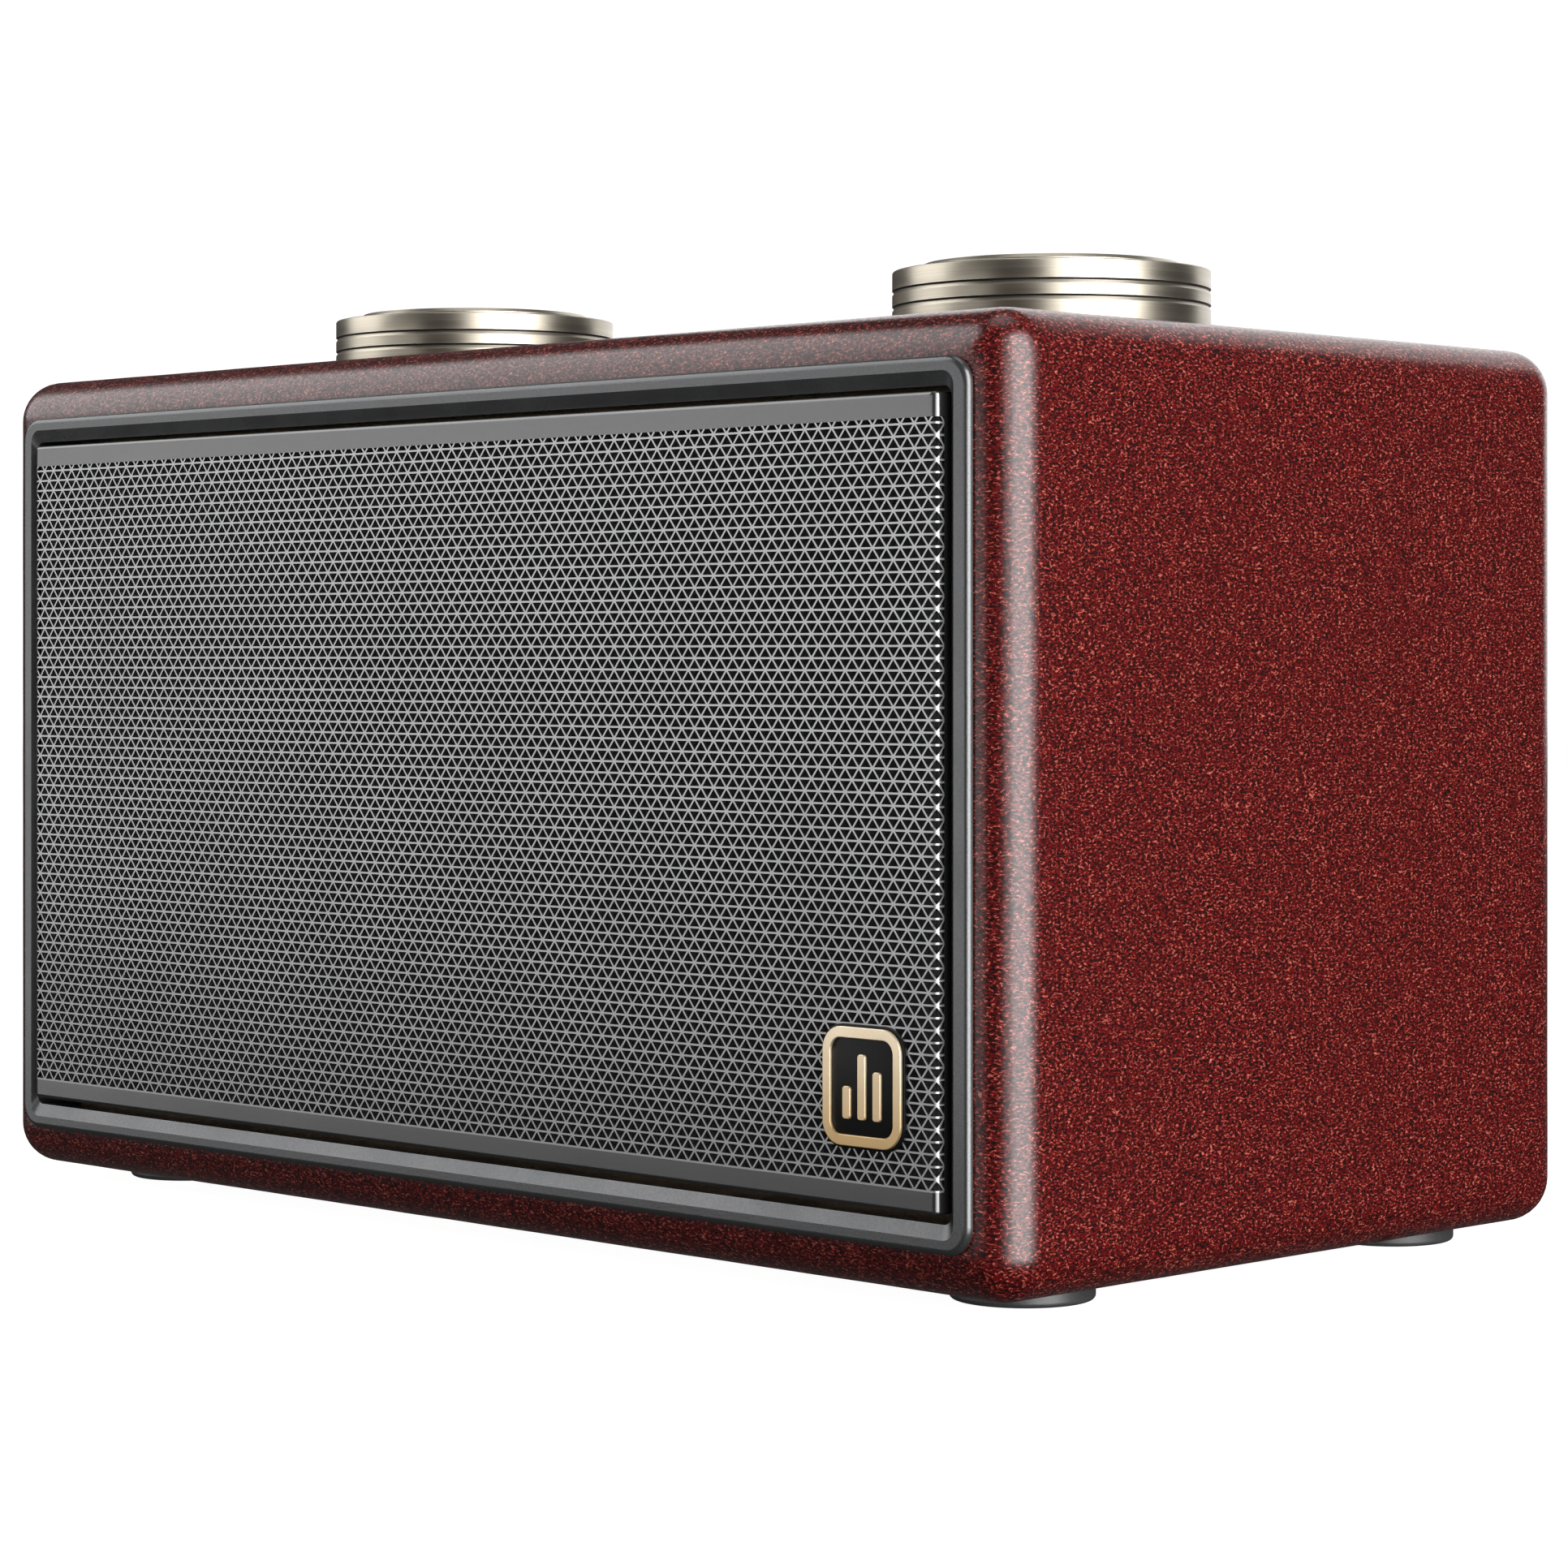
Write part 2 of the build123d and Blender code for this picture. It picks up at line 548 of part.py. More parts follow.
def jack_plate():
    """Metal plate with the openings of the sockets, switch and lamp."""
    size = (JACK_PLATE[0] - 0.4, JACK_PLATE[1] - 0.4)
    plate = slab(rounded(size, 2.8, JACK_X, JACK_Z), JACK_BACK, JACK_FACE)
    usb = rounded((USB_MOUTH[0] + 1.4, USB_MOUTH[1] + 1.4), 2.3, JACK_X + USB_X, JACK_Z)
    slot = rounded(switch_slot(), 0.8, JACK_X + SWITCH_X, JACK_Z)
    aux = disc(3.2, JACK_X + AUX_X, JACK_Z)
    lamp = disc(LAMP_RADIUS + 0.1, JACK_X + LAMP_X, JACK_Z)
    for hole in (usb, slot, aux, lamp):
        plate -= slab(hole, JACK_BACK - 1, JACK_FACE + 1)
    for x, z in jack_screw_places():
        plate -= slab(disc(SCREW_RADIUS, x, z), JACK_BACK - 1, JACK_FACE + 1)
    for offset in JACK_POSTS:
        plate += slab(disc(JACK_POST_RADIUS, JACK_X + offset, JACK_Z), JACK_BOARD_Y, JACK_BACK)
    return plate


def jack_plate_screws():
    """Low-headed screws, so that nothing stands out past the back."""
    screws = []
    for x, z in jack_screw_places():
        head = slab(disc(SCREW_HEAD_RADIUS - 0.4, x, z), JACK_FACE, JACK_FACE + 1.0)
        shank = slab(disc(SCREW_RADIUS, x, z), JACK_BACK - JACK_SCREW_LENGTH, JACK_FACE)
        socket = slab(disc(SCREW_SOCKET_RADIUS, x, z), JACK_FACE + 0.4, JACK_FACE + 2)
        screws.append(head + shank - socket)
    return Compound(children=screws)


def charge_socket():
    """Oval metal shell, open to the back, with a centre tongue."""
    x = JACK_X + USB_X
    shell = rounded(USB_SHELL, 1.9, x, JACK_Z)
    mouth = rounded(USB_MOUTH, 1.6, x, JACK_Z)
    body = slab(shell, JACK_BOARD_Y, JACK_FACE)
    body -= slab(mouth, JACK_BOARD_Y + 1.5, JACK_FACE + 1)
    tongue = Pos(x, JACK_Z) * Rectangle(USB_MOUTH[0] - 2.6, 0.8)
    return body + slab(tongue, JACK_BOARD_Y + 1, JACK_FACE - 1.2)


def aux_socket():
    x = JACK_X + AUX_X
    body = slab(rounded(AUX_BODY, 0.8, x, JACK_Z), JACK_BOARD_Y, JACK_BACK - 0.3)
    body += slab(disc(3.0, x, JACK_Z), JACK_BACK - 0.4, JACK_FACE + 0.3)
    return body - slab(disc(AUX_RADIUS, x, JACK_Z), JACK_BOARD_Y + 1, JACK_FACE + 1)


def switch_housing():
    """Steel case that guides the slider."""
    x = JACK_X + SWITCH_X
    wall = 0.8
    hollow_size = (SWITCH_CASE[0] - 2 * wall, SWITCH_CASE[1] - 2 * wall)
    case = slab(rounded(SWITCH_CASE, 0.6, x, JACK_Z), JACK_BOARD_Y, JACK_BACK - 0.3)
    hollow = slab(rounded(hollow_size, 0.5, x, JACK_Z), JACK_BOARD_Y + 1, JACK_BACK - 0.3 - wall)
    return case - hollow - slab(rounded(switch_slot(), 0.8, x, JACK_Z), JACK_BACK - 2, JACK_BACK)


def switch_slider():
    """Ribbed finger piece on a wider carriage inside the housing, at its left stop."""
    x = JACK_X + SWITCH_X - SWITCH_TRAVEL
    stem = slab(rounded(SWITCH_KNOB, 0.5, x, JACK_Z), JACK_BACK - 1.7, JACK_FACE + 0.9)
    carriage = slab(rounded((7.4, 5.6), 0.5, x, JACK_Z), JACK_BACK - 4.5, JACK_BACK - 1.6)
    body = stem + carriage
    for offset in (-1.2, 0.0, 1.2):
        groove = Pos(x + offset, JACK_FACE + 0.9, JACK_Z) * Box(0.4, 0.8, SWITCH_KNOB[1] + 1)
        body -= groove
    return body


def charge_lamp():
    x = JACK_X + LAMP_X
    return slab(disc(LAMP_RADIUS, x, JACK_Z), JACK_BOARD_Y, JACK_FACE + 0.2)


def jack_board():
    size = (JACK_PLATE[0] - 18, JACK_PLATE[1] - 8)
    return slab(rounded(size, 1.0, JACK_X, JACK_Z), JACK_BOARD_Y - 1.6, JACK_BOARD_Y)


# ---- electronics on the floor of the box ------------------------------------------------------

MAIN_BOARD = (96.0, 52.0, 1.6)
MAIN_X, MAIN_Y = 50.0, 8.0
STANDOFF_HEIGHT, STANDOFF_RADIUS = 6.0, 2.8
BOARD_BOTTOM = CAVITY_FLOOR + STANDOFF_HEIGHT
BOARD_TOP = BOARD_BOTTOM + MAIN_BOARD[2]
CELL_RADIUS, CELL_LENGTH = 9.2, 65.0
BATTERY_X, BATTERY_Y = -62.0, 8.0
CELL_PITCH = 20.0
CELL_SLACK = 0.3
CELL_TIP_RADIUS = 2.8
TRAY_WALL, TRAY_FLOOR, TRAY_HEIGHT = 5.0, 2.0, 12.0
AMPLIFIER_CHIP, POWER_CHIP = (12.0, 12.0, 1.4), (9.0, 7.0, 1.2)
CAPACITOR_RADIUS, CAPACITOR_HEIGHT, CAPACITOR_PITCH = 4.0, 11.0, 10.0
CONNECTOR = (16.0, 5.0, 6.0)
CONNECTOR_X, CONNECTOR_Y = MAIN_X - 6, MAIN_Y + 20


def board_hole_places():
    reach_x, reach_y = MAIN_BOARD[0] / 2 - 4, MAIN_BOARD[1] / 2 - 4
    return [(MAIN_X + a, MAIN_Y + b) for a, b in four_corners(reach_x, reach_y)]


def main_board():
    """Circuit board with its larger chips and capacitors."""
    body = block(MAIN_BOARD, MAIN_X, MAIN_Y, BOARD_BOTTOM)
    for x, y in board_hole_places():
        body -= post(SCREW_RADIUS, x, y, BOARD_BOTTOM - 1, BOARD_TOP + 1)
    body += block(AMPLIFIER_CHIP, MAIN_X + 4, MAIN_Y - 12, BOARD_TOP)
    body += block(POWER_CHIP, MAIN_X + 20, MAIN_Y - 14, BOARD_TOP)
    for step in range(3):
        body += post(CAPACITOR_RADIUS, MAIN_X + 14 + CAPACITOR_PITCH * step, MAIN_Y + 16, BOARD_TOP,
                     BOARD_TOP + CAPACITOR_HEIGHT)
    body += block(CONNECTOR, CONNECTOR_X, CONNECTOR_Y, BOARD_TOP)
    return body


def board_standoffs():
    pieces = []
    for x, y in board_hole_places():
        tube = post(STANDOFF_RADIUS, x, y, CAVITY_FLOOR, BOARD_BOTTOM)
        pieces.append(tube - post(SCREW_RADIUS, x, y, BOARD_BOTTOM - 4.4, BOARD_BOTTOM + 1))
    return Compound(children=pieces)


def board_screws():
    return Compound(children=[upright_screw(x, y, BOARD_TOP, 6.0) for x, y in board_hole_places()])


def amplifier_heatsink():
    """Aluminium base with upright fins."""
    x, y = MAIN_X - 26, MAIN_Y
    body = block((22, 30, 3), x, y, BOARD_TOP)
    for fin in range(5):
        body += block((1.6, 30, 12), x - 10.2 + 5.1 * fin, y, BOARD_TOP + 2)
    return body


def radio_module():
    """Screened receiver and wireless module."""
    body = block((22, 16, 3.2), MAIN_X + 32, MAIN_Y - 2, BOARD_TOP)
    return fillet(body.edges().filter_by(Axis.Z), 0.8)


def battery_holder():
    """Open tray with end walls and a rib between the two cells."""
    length, width = CELL_LENGTH + 2 * TRAY_WALL, 2 * CELL_PITCH + 4
    body = block((length, width, TRAY_HEIGHT), BATTERY_X, BATTERY_Y, CAVITY_FLOOR)
    for side in (-0.5, 0.5):
        trough = Pos(BATTERY_X, BATTERY_Y + side * CELL_PITCH, CAVITY_FLOOR + TRAY_FLOOR + CELL_RADIUS)
        body -= trough * Rot(0, 90, 0) * Cylinder(CELL_RADIUS + CELL_SLACK, CELL_LENGTH + 1)
        body -= trough * Pos(0, 0, CELL_RADIUS) * Box(
            CELL_LENGTH + 1, 2 * (CELL_RADIUS + CELL_SLACK), 2 * CELL_RADIUS)
    return body


def battery_cells():
    cells = []
    for side in (-0.5, 0.5):
        centre = Pos(BATTERY_X, BATTERY_Y + side * CELL_PITCH,
                     CAVITY_FLOOR + TRAY_FLOOR + CELL_SLACK + CELL_RADIUS)
        cell = centre * Rot(0, 90, 0) * Cylinder(CELL_RADIUS, CELL_LENGTH)
        cell += centre * Rot(0, 90, 0) * Cylinder(CELL_TIP_RADIUS, CELL_LENGTH + 1)
        cells.append(cell)
    return Compound(children=cells)


def antenna_foil():
    """Copper strip bonded under the roof of the box."""
    return block((100.0, 12.0, 0.3), 0, 34.0, CAVITY_TOP - 0.3)


# ---- controls ---------------------------------------------------------------------------------

BRACKET_SCREW_LENGTH = 7.0
CASE_TOP = BRACKET_BOTTOM
CASE_BOTTOM = CASE_TOP - CONTROL_CASE[2]
BUSHING_TOP = BRACKET_TOP + BUSHING_HEIGHT
SHAFT_TOP = KNOB_RIM_TOP - KNOB_ROOF - 1.0
SHAFT_FOOT = CASE_BOTTOM + 3.0
NUT_HEIGHT, NUT_ACROSS = 2.5, 5.6
PLUNGER_RADIUS = 2.4


def bracket_screw_places(x):
    return [(x - BRACKET[0] / 2 + 5, 0), (x + BRACKET[0] / 2 - 5, 0)]


def control_bracket(x):
    """Steel plate under the roof that carries one control."""
    body = block(BRACKET, x, 0, BRACKET_BOTTOM)
    body = fillet(body.edges().filter_by(Axis.Z), 3.0)
    body -= post(BUSHING_RADIUS, x, 0, BRACKET_BOTTOM - 1, BRACKET_TOP + 1)
    for screw_x, screw_y in bracket_screw_places(x):
        body -= post(SCREW_RADIUS, screw_x, screw_y, BRACKET_BOTTOM - 1, BRACKET_TOP + 1)
    return body


def bracket_screws():
    screws = []
    for x in (-KNOB_X, KNOB_X):
        for screw_x, screw_y in bracket_screw_places(x):
            screws.append(upright_screw(screw_x, screw_y, BRACKET_BOTTOM, BRACKET_SCREW_LENGTH, up=False))
    return Compound(children=screws)


def control_case(x, well_radius):
    """Case and threaded bushing of a rotary control, with a well for the shaft's foot."""
    body = block(CONTROL_CASE, x, 0, CASE_BOTTOM)
    body += post(BUSHING_RADIUS, x, 0, CASE_TOP - 1, BUSHING_TOP)
    body -= post(SHAFT_RADIUS + SHAFT_CLEARANCE, x, 0, SHAFT_FOOT - 1.0, BUSHING_TOP + 1)
    if well_radius:
        body -= post(well_radius, x, 0, CASE_BOTTOM + 1, SHAFT_FOOT)
    for pin in (-1, 0, 1):
        body += block((1.0, 6.0, 1.0), x + 5 * pin, -CONTROL_CASE[1] / 2 - 2, CASE_BOTTOM + 1)
    return body


def bushing_nuts():
    nuts = []
    for x in (-KNOB_X, KNOB_X):
        nut = Pos(x, 0, BRACKET_TOP) * extrude(RegularPolygon(NUT_ACROSS, 6), NUT_HEIGHT)
        nuts.append(nut - post(BUSHING_RADIUS, x, 0, BRACKET_TOP - 1, BUSHING_TOP))
    return Compound(children=nuts)


def control_shaft(x):
    return post(SHAFT_RADIUS, x, 0, SHAFT_FOOT, SHAFT_TOP)


def tuning_plunger():
    """Button under the shaft's foot that closes the press contact."""
    return post(PLUNGER_RADIUS, KNOB_X, 0, SHAFT_FOOT - 1.2, SHAFT_FOOT - SHAFT_CLEARANCE)


def control_knob(x):
    """Turned metal knob with two V grooves round its side, a raised disc and a socket below."""
    rim = KNOB_RIM_TOP - KNOB_BOTTOM
    roof = rim - KNOB_ROOF
    outline = [(0, roof), (HUB_RADIUS, roof), (HUB_RADIUS, 0), (KNOB_RADIUS, 0)]
    for top in GROOVE_TOPS:
        level = top - KNOB_GAP
        outline += [(KNOB_RADIUS, level - GROOVE_HEIGHT),
                    (KNOB_RADIUS - GROOVE_DEPTH, level - GROOVE_UNDERCUT), (KNOB_RADIUS, level)]
    outline += [(KNOB_RADIUS, rim - KNOB_RIM_BEVEL), (KNOB_RADIUS - KNOB_RIM_BEVEL, rim),
                (KNOB_DISC_RADIUS, rim), (KNOB_DISC_RADIUS, rim + KNOB_DISC_RAISE - KNOB_DISC_BEVEL),
                (KNOB_DISC_RADIUS - KNOB_DISC_BEVEL, rim + KNOB_DISC_RAISE),
                (0, rim + KNOB_DISC_RAISE)]
    return turned(outline, x, 0, KNOB_BOTTOM)


def knob_hub(x):
    """Plastic insert in the knob's socket, whose boss reaches into the box and grips the shaft."""
    roof = KNOB_RIM_TOP - KNOB_ROOF
    body = post(HUB_RADIUS, x, 0, KNOB_BOTTOM, roof)
    body += post(BOSS_RADIUS, x, 0, BODY_TOP - BOSS_REACH, KNOB_BOTTOM)
    return body - post(SHAFT_RADIUS, x, 0, BODY_TOP - BOSS_REACH - 1, SHAFT_TOP)


# ---- internal leads ---------------------------------------------------------------------------

LEAD_RADIUS, LEAD_GAP = 1.1, 0.2


def lead(points, radius):
    """Round lead along straight runs joined by tangent arcs."""
    ends = [Vector(*point) for point in points]
    runs = [b - a for a, b in zip(ends, ends[1:])]
    bends = []
    for before, after in zip(runs, runs[1:]):
        half_turn = before.get_angle(after) / 2
        bends.append(0.45 * min(before.length, after.length) / tan(radians(half_turn)))
    path = FilletPolyline(*points, radius=bends)
    start = Plane(origin=path @ 0, z_dir=path % 0)
    return sweep(start * Circle(radius), path=path)


def wiring_harness():
    """Leads that join the boards, drivers, battery, controls and antenna."""
    plug_z = BOARD_TOP + CONNECTOR[2] + LEAD_GAP
    board_z = BOARD_TOP + LEAD_GAP
    pin_y, pin_z = -CONTROL_CASE[1] / 2 - 2, CASE_BOTTOM + 1 - LEAD_GAP
    basket_y, basket_z = BASKET_BACK - 4, DRIVER_Z - 30.6
    speaker_leads = []
    for x, plug_x in ((-DRIVER_X, CONNECTOR_X - 4), (DRIVER_X, CONNECTOR_X + 4)):
        speaker_leads.append([
            (plug_x, CONNECTOR_Y, plug_z), (plug_x, CONNECTOR_Y, plug_z + 13),
            (x, CONNECTOR_Y, plug_z + 13), (x, basket_y, plug_z + 11), (x, basket_y, basket_z - LEAD_GAP)])
    battery_end = BATTERY_X + CELL_LENGTH / 2 + TRAY_WALL + LEAD_GAP
    battery = [(battery_end, 2, 22), (battery_end + 8, 2, 24), (battery_end + 18, 2, 30),
               (MAIN_X - 42, 2, 30), (MAIN_X - 42, 2, board_z)]
    volume = [(-KNOB_X, pin_y, pin_z), (-KNOB_X, pin_y, 118), (-32, -10, 118), (-32, 10, 60),
              (-14, 20, 44), (MAIN_X - 44, 20, 38), (MAIN_X - 44, 20, board_z)]
    tuning = [(KNOB_X, pin_y, pin_z), (KNOB_X, pin_y, 123), (108, -8, 118), (108, 4, 62),
              (100, 8, 38), (66, 8, 38), (66, 8, board_z)]
    jack = [(57, JACK_BOARD_Y - 1.6 - LEAD_GAP, 44), (57, 50, 44), (57, 38, 34), (57, 31, 30),
            (57, 31, board_z)]
    antenna = [(45, 34, CAVITY_TOP - 0.3 - LEAD_GAP), (45, 34, 134), (104, 36, 132), (104, 34, 46),
               (92, 22, 36), (90, 20, board_z)]
    routes = speaker_leads + [battery, volume, tuning, jack, antenna]
    return Compound(children=[lead(route, LEAD_RADIUS) for route in routes])


# ---- write every piece ------------------------------------------------------------------------

def all_parts():
    parts = {
        "cabinet_shell": cabinet_shell(),
        "leather_wrap": leather_wrap(),
        "front_bezel": front_bezel(),
        "grille_panel": grille_panel(),
        "grille_frame": grille_frame(),
        "grille_cloth": grille_cloth(),
        "badge_plate": badge_plate(),
        "badge_emblem": badge_emblem(),
        "front_baffle": front_baffle(),
        "driver_screws": driver_screws(),
        "rear_panel": rear_panel(),
        "rear_panel_screws": rear_panel_screws(),
        "bass_port": bass_port(),
        "jack_plate": jack_plate(),
        "jack_plate_screws": jack_plate_screws(),
        "jack_board": jack_board(),
        "charge_socket": charge_socket(),
        "aux_socket": aux_socket(),
        "switch_housing": switch_housing(),
        "switch_slider": switch_slider(),
        "charge_lamp": charge_lamp(),
        "main_board": main_board(),
        "board_standoffs": board_standoffs(),
        "board_screws": board_screws(),
        "amplifier_heatsink": amplifier_heatsink(),
        "radio_module": radio_module(),
        "battery_holder": battery_holder(),
        "battery_cells": battery_cells(),
        "antenna_foil": antenna_foil(),
        "volume_bracket": control_bracket(-KNOB_X),
        "tuning_bracket": control_bracket(KNOB_X),
        "bracket_screws": bracket_screws(),
        "volume_potentiometer": control_case(-KNOB_X, 0),
        "tuning_encoder": control_case(KNOB_X, PLUNGER_RADIUS + 0.3),
        "bushing_nuts": bushing_nuts(),
        "volume_shaft": control_shaft(-KNOB_X),
        "tuning_shaft": control_shaft(KNOB_X),
        "tuning_plunger": tuning_plunger(),
        "volume_knob": control_knob(-KNOB_X),
        "tuning_knob": control_knob(KNOB_X),
        "volume_knob_hub": knob_hub(-KNOB_X),
        "tuning_knob_hub": knob_hub(KNOB_X),
        "wiring_harness": wiring_harness(),
    }
    for side, x in (("left", -DRIVER_X), ("right", DRIVER_X)):
        parts[f"{side}_driver_basket"] = driver_basket(x)
        parts[f"{side}_driver_magnet"] = driver_magnet(x)
        parts[f"{side}_driver_cone"] = driver_cone(x)
        parts[f"{side}_driver_surround"] = driver_surround(x)
        parts[f"{side}_driver_spider"] = driver_spider(x)
        parts[f"{side}_voice_coil"] = voice_coil(x)
    foot_screws = []
    for name, (x, y) in FOOT_PLACES.items():
        parts[name] = foot(x, y)
        foot_screws.append(foot_screw(x, y))
    parts["foot_screws"] = Compound(children=foot_screws)
    return parts


os.makedirs("parts", exist_ok=True)
for node, shape in all_parts().items():
    export_step(shape, f"parts/{node}.step")
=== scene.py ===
from math import atan2, cos, pi, radians, sin, sqrt, tan

import bmesh
import bpy
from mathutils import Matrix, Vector, noise


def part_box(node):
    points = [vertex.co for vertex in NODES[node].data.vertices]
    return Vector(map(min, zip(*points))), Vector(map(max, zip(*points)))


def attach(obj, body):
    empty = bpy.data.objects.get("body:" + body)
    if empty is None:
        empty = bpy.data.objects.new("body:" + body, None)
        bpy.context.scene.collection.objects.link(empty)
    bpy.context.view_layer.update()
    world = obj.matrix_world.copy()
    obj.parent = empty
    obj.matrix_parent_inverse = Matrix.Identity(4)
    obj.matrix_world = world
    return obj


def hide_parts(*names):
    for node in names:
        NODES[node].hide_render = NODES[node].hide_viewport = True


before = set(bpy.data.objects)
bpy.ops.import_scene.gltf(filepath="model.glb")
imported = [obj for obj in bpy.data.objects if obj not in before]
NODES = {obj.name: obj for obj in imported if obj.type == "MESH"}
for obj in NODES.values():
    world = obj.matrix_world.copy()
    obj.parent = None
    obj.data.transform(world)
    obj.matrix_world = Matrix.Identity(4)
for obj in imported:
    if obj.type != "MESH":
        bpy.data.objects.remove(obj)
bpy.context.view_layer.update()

MM = 0.001
NEARBY = 1e-5  # metres: leeway when asking on which side of a line a point lies
TOUCHING = 1e-6  # metres: points nearer to each other than this are the same point
CUT_LEEWAY = 1e-7  # metres: a cut goes through a point that is this near to it
SCENE = bpy.context.scene


# ---- node helpers -------------------------------------------------------------------------------

def add(tree, kind, inputs=None, **settings):
    """Adds a node. Inputs are values, or sockets to join, by socket name or place."""
    node = tree.nodes.new(kind)
    for key, value in settings.items():
        setattr(node, key, value)
    for key, value in (inputs or {}).items():
        join(tree, node.inputs[key], value)
    return node


def join(tree, socket, value):
    """Links a socket to another one, or gives it a plain value."""
    if isinstance(value, bpy.types.NodeSocket):
        tree.links.new(value, socket)
    else:
        socket.default_value = value


def maths(tree, operation, *values):
    """Adds a Math node and returns its result."""
    return add(tree, "ShaderNodeMath", dict(enumerate(values)), operation=operation).outputs[0]


def between(tree, value, low, high, to_low=0.0, to_high=1.0):
    """Maps a value from one span to another, held at the ends."""
    node = add(tree, "ShaderNodeMapRange", {
        "Value": value, "From Min": low, "From Max": high, "To Min": to_low, "To Max": to_high})
    return node.outputs["Result"]


def spread(tree, mask, low, high):
    """Maps a mask that runs from 0 to 1 on to another span."""
    return between(tree, mask, 0.0, 1.0, low, high)


# Sockets of a Mix node for colours, by their place.
MIX_SHARE, MIX_FIRST, MIX_SECOND, MIX_RESULT = 0, 6, 7, 2


def blend_colour(tree, share, first, second):
    """Goes from the first colour to the second as the share goes from 0 to 1."""
    node = add(tree, "ShaderNodeMix", {MIX_SHARE: share, MIX_FIRST: first, MIX_SECOND: second},
               data_type="RGBA")
    return node.outputs[MIX_RESULT]


def shaded(colour, factor):
    return (*(channel * factor for channel in colour[:3]), 1.0)


def opaque(colour):
    return (*colour, 1.0)


def object_point(tree):
    """The point's place in the object's frame, in metres."""
    return add(tree, "ShaderNodeTexCoord").outputs["Object"]


def object_axes(tree):
    """The same place as separate X, Y and Z."""
    return add(tree, "ShaderNodeSeparateXYZ", {"Vector": object_point(tree)}).outputs


def object_place(tree, stretch=(1, 1, 1)):
    """The same place with its axes stretched, for textures that run one way."""
    node = add(tree, "ShaderNodeMapping", {"Vector": object_point(tree), "Scale": stretch})
    return node.outputs["Vector"]


def noise_value(tree, place, scale, detail=2.0, roughness=0.5):
    node = add(tree, "ShaderNodeTexNoise", {
        "Vector": place, "Scale": scale, "Detail": detail, "Roughness": roughness})
    return node.outputs["Fac"]


# ---- shared effects, as node groups ---------------------------------------------------------------

def new_group(name, inputs, outputs):
    """An empty node group with number sockets; returns the tree and its two end nodes."""
    tree = bpy.data.node_groups.new(name, "ShaderNodeTree")
    for socket, start in inputs.items():
        kind = "NodeSocketVector" if isinstance(start, tuple) else "NodeSocketFloat"
        made = tree.interface.new_socket(socket, in_out="INPUT", socket_type=kind)
        made.default_value = start
    for socket in outputs:
        tree.interface.new_socket(socket, in_out="OUTPUT", socket_type="NodeSocketFloat")
    return tree, tree.nodes.new("NodeGroupInput"), tree.nodes.new("NodeGroupOutput")


def make_speckle():
    """Fine spray or mould texture, with slow handling marks over it."""
    tree, given, result = new_group("speckle", {"Grain": 2500.0, "Marks": 60.0},
                                    ["Height", "Grain Tone", "Marks Tone"])
    place = object_place(tree)
    grain = noise_value(tree, place, given.outputs["Grain"], 2.0)
    marks = noise_value(tree, place, given.outputs["Marks"], 4.0, 0.6)
    join(tree, result.inputs["Height"], grain)
    join(tree, result.inputs["Grain Tone"], between(tree, grain, 0.3, 0.7))
    join(tree, result.inputs["Marks Tone"], between(tree, marks, 0.35, 0.7))
    return tree


def make_turning():
    """Tool marks that run round an upright axis, or across a level one."""
    tree, given, result = new_group("turning", {"Axis": (0.0, 0.0, 0.0), "Lines": 4000.0},
                                    ["Height", "Tone", "Band"])
    offset = add(tree, "ShaderNodeVectorMath", {0: object_point(tree), 1: given.outputs["Axis"]},
                 operation="SUBTRACT").outputs["Vector"]
    split = add(tree, "ShaderNodeSeparateXYZ", {"Vector": offset}).outputs
    radius = maths(tree, "SQRT", maths(tree, "ADD", maths(tree, "MULTIPLY", split["X"], split["X"]),
                                       maths(tree, "MULTIPLY", split["Y"], split["Y"])))
    profile = maths(tree, "ADD", radius, split["Z"])

    def marks(line_count, detail):
        along = maths(tree, "MULTIPLY", profile, line_count)
        return add(tree, "ShaderNodeTexNoise", {"W": along, "Scale": 1.0, "Detail": detail},
                   noise_dimensions="1D").outputs["Fac"]

    fine = marks(given.outputs["Lines"], detail=3.0)
    broad = marks(420.0, detail=2.0)
    join(tree, result.inputs["Height"], fine)
    join(tree, result.inputs["Tone"], between(tree, fine, 0.3, 0.7))
    join(tree, result.inputs["Band"], between(tree, broad, 0.3, 0.7))
    return tree


def make_worn_edge():
    """Finds outer edges, broken up so that the wear is uneven."""
    tree, given, result = new_group("worn_edge", {"Width": 0.0004, "Patches": 300.0}, ["Mask"])
    soft = add(tree, "ShaderNodeBevel", {"Radius": given.outputs["Width"]}, samples=4)
    straight = add(tree, "ShaderNodeNewGeometry").outputs["Normal"]
    along = add(tree, "ShaderNodeVectorMath", {0: soft.outputs["Normal"], 1: straight},
                operation="DOT_PRODUCT").outputs["Value"]
    patches = noise_value(tree, object_place(tree), given.outputs["Patches"], 3.0)
    edge = between(tree, along, 0.995, 0.90)
    join(tree, result.inputs["Mask"], maths(tree, "MULTIPLY", edge, between(tree, patches, 0.3, 0.6)))
    return tree


def make_settled_dust():
    """Thin dust on surfaces that face up."""
    tree, given, result = new_group("settled_dust", {"Amount": 0.15}, ["Mask"])
    facing = add(tree, "ShaderNodeNewGeometry").outputs["Normal"]
    up = add(tree, "ShaderNodeSeparateXYZ", {"Vector": facing}).outputs["Z"]
    patches = noise_value(tree, object_place(tree), 220.0, 5.0, 0.65)
    mask = maths(tree, "MULTIPLY", between(tree, up, 0.55, 1.0), between(tree, patches, 0.35, 0.75))
    join(tree, result.inputs["Mask"], maths(tree, "MULTIPLY", mask, given.outputs["Amount"]))
    return tree


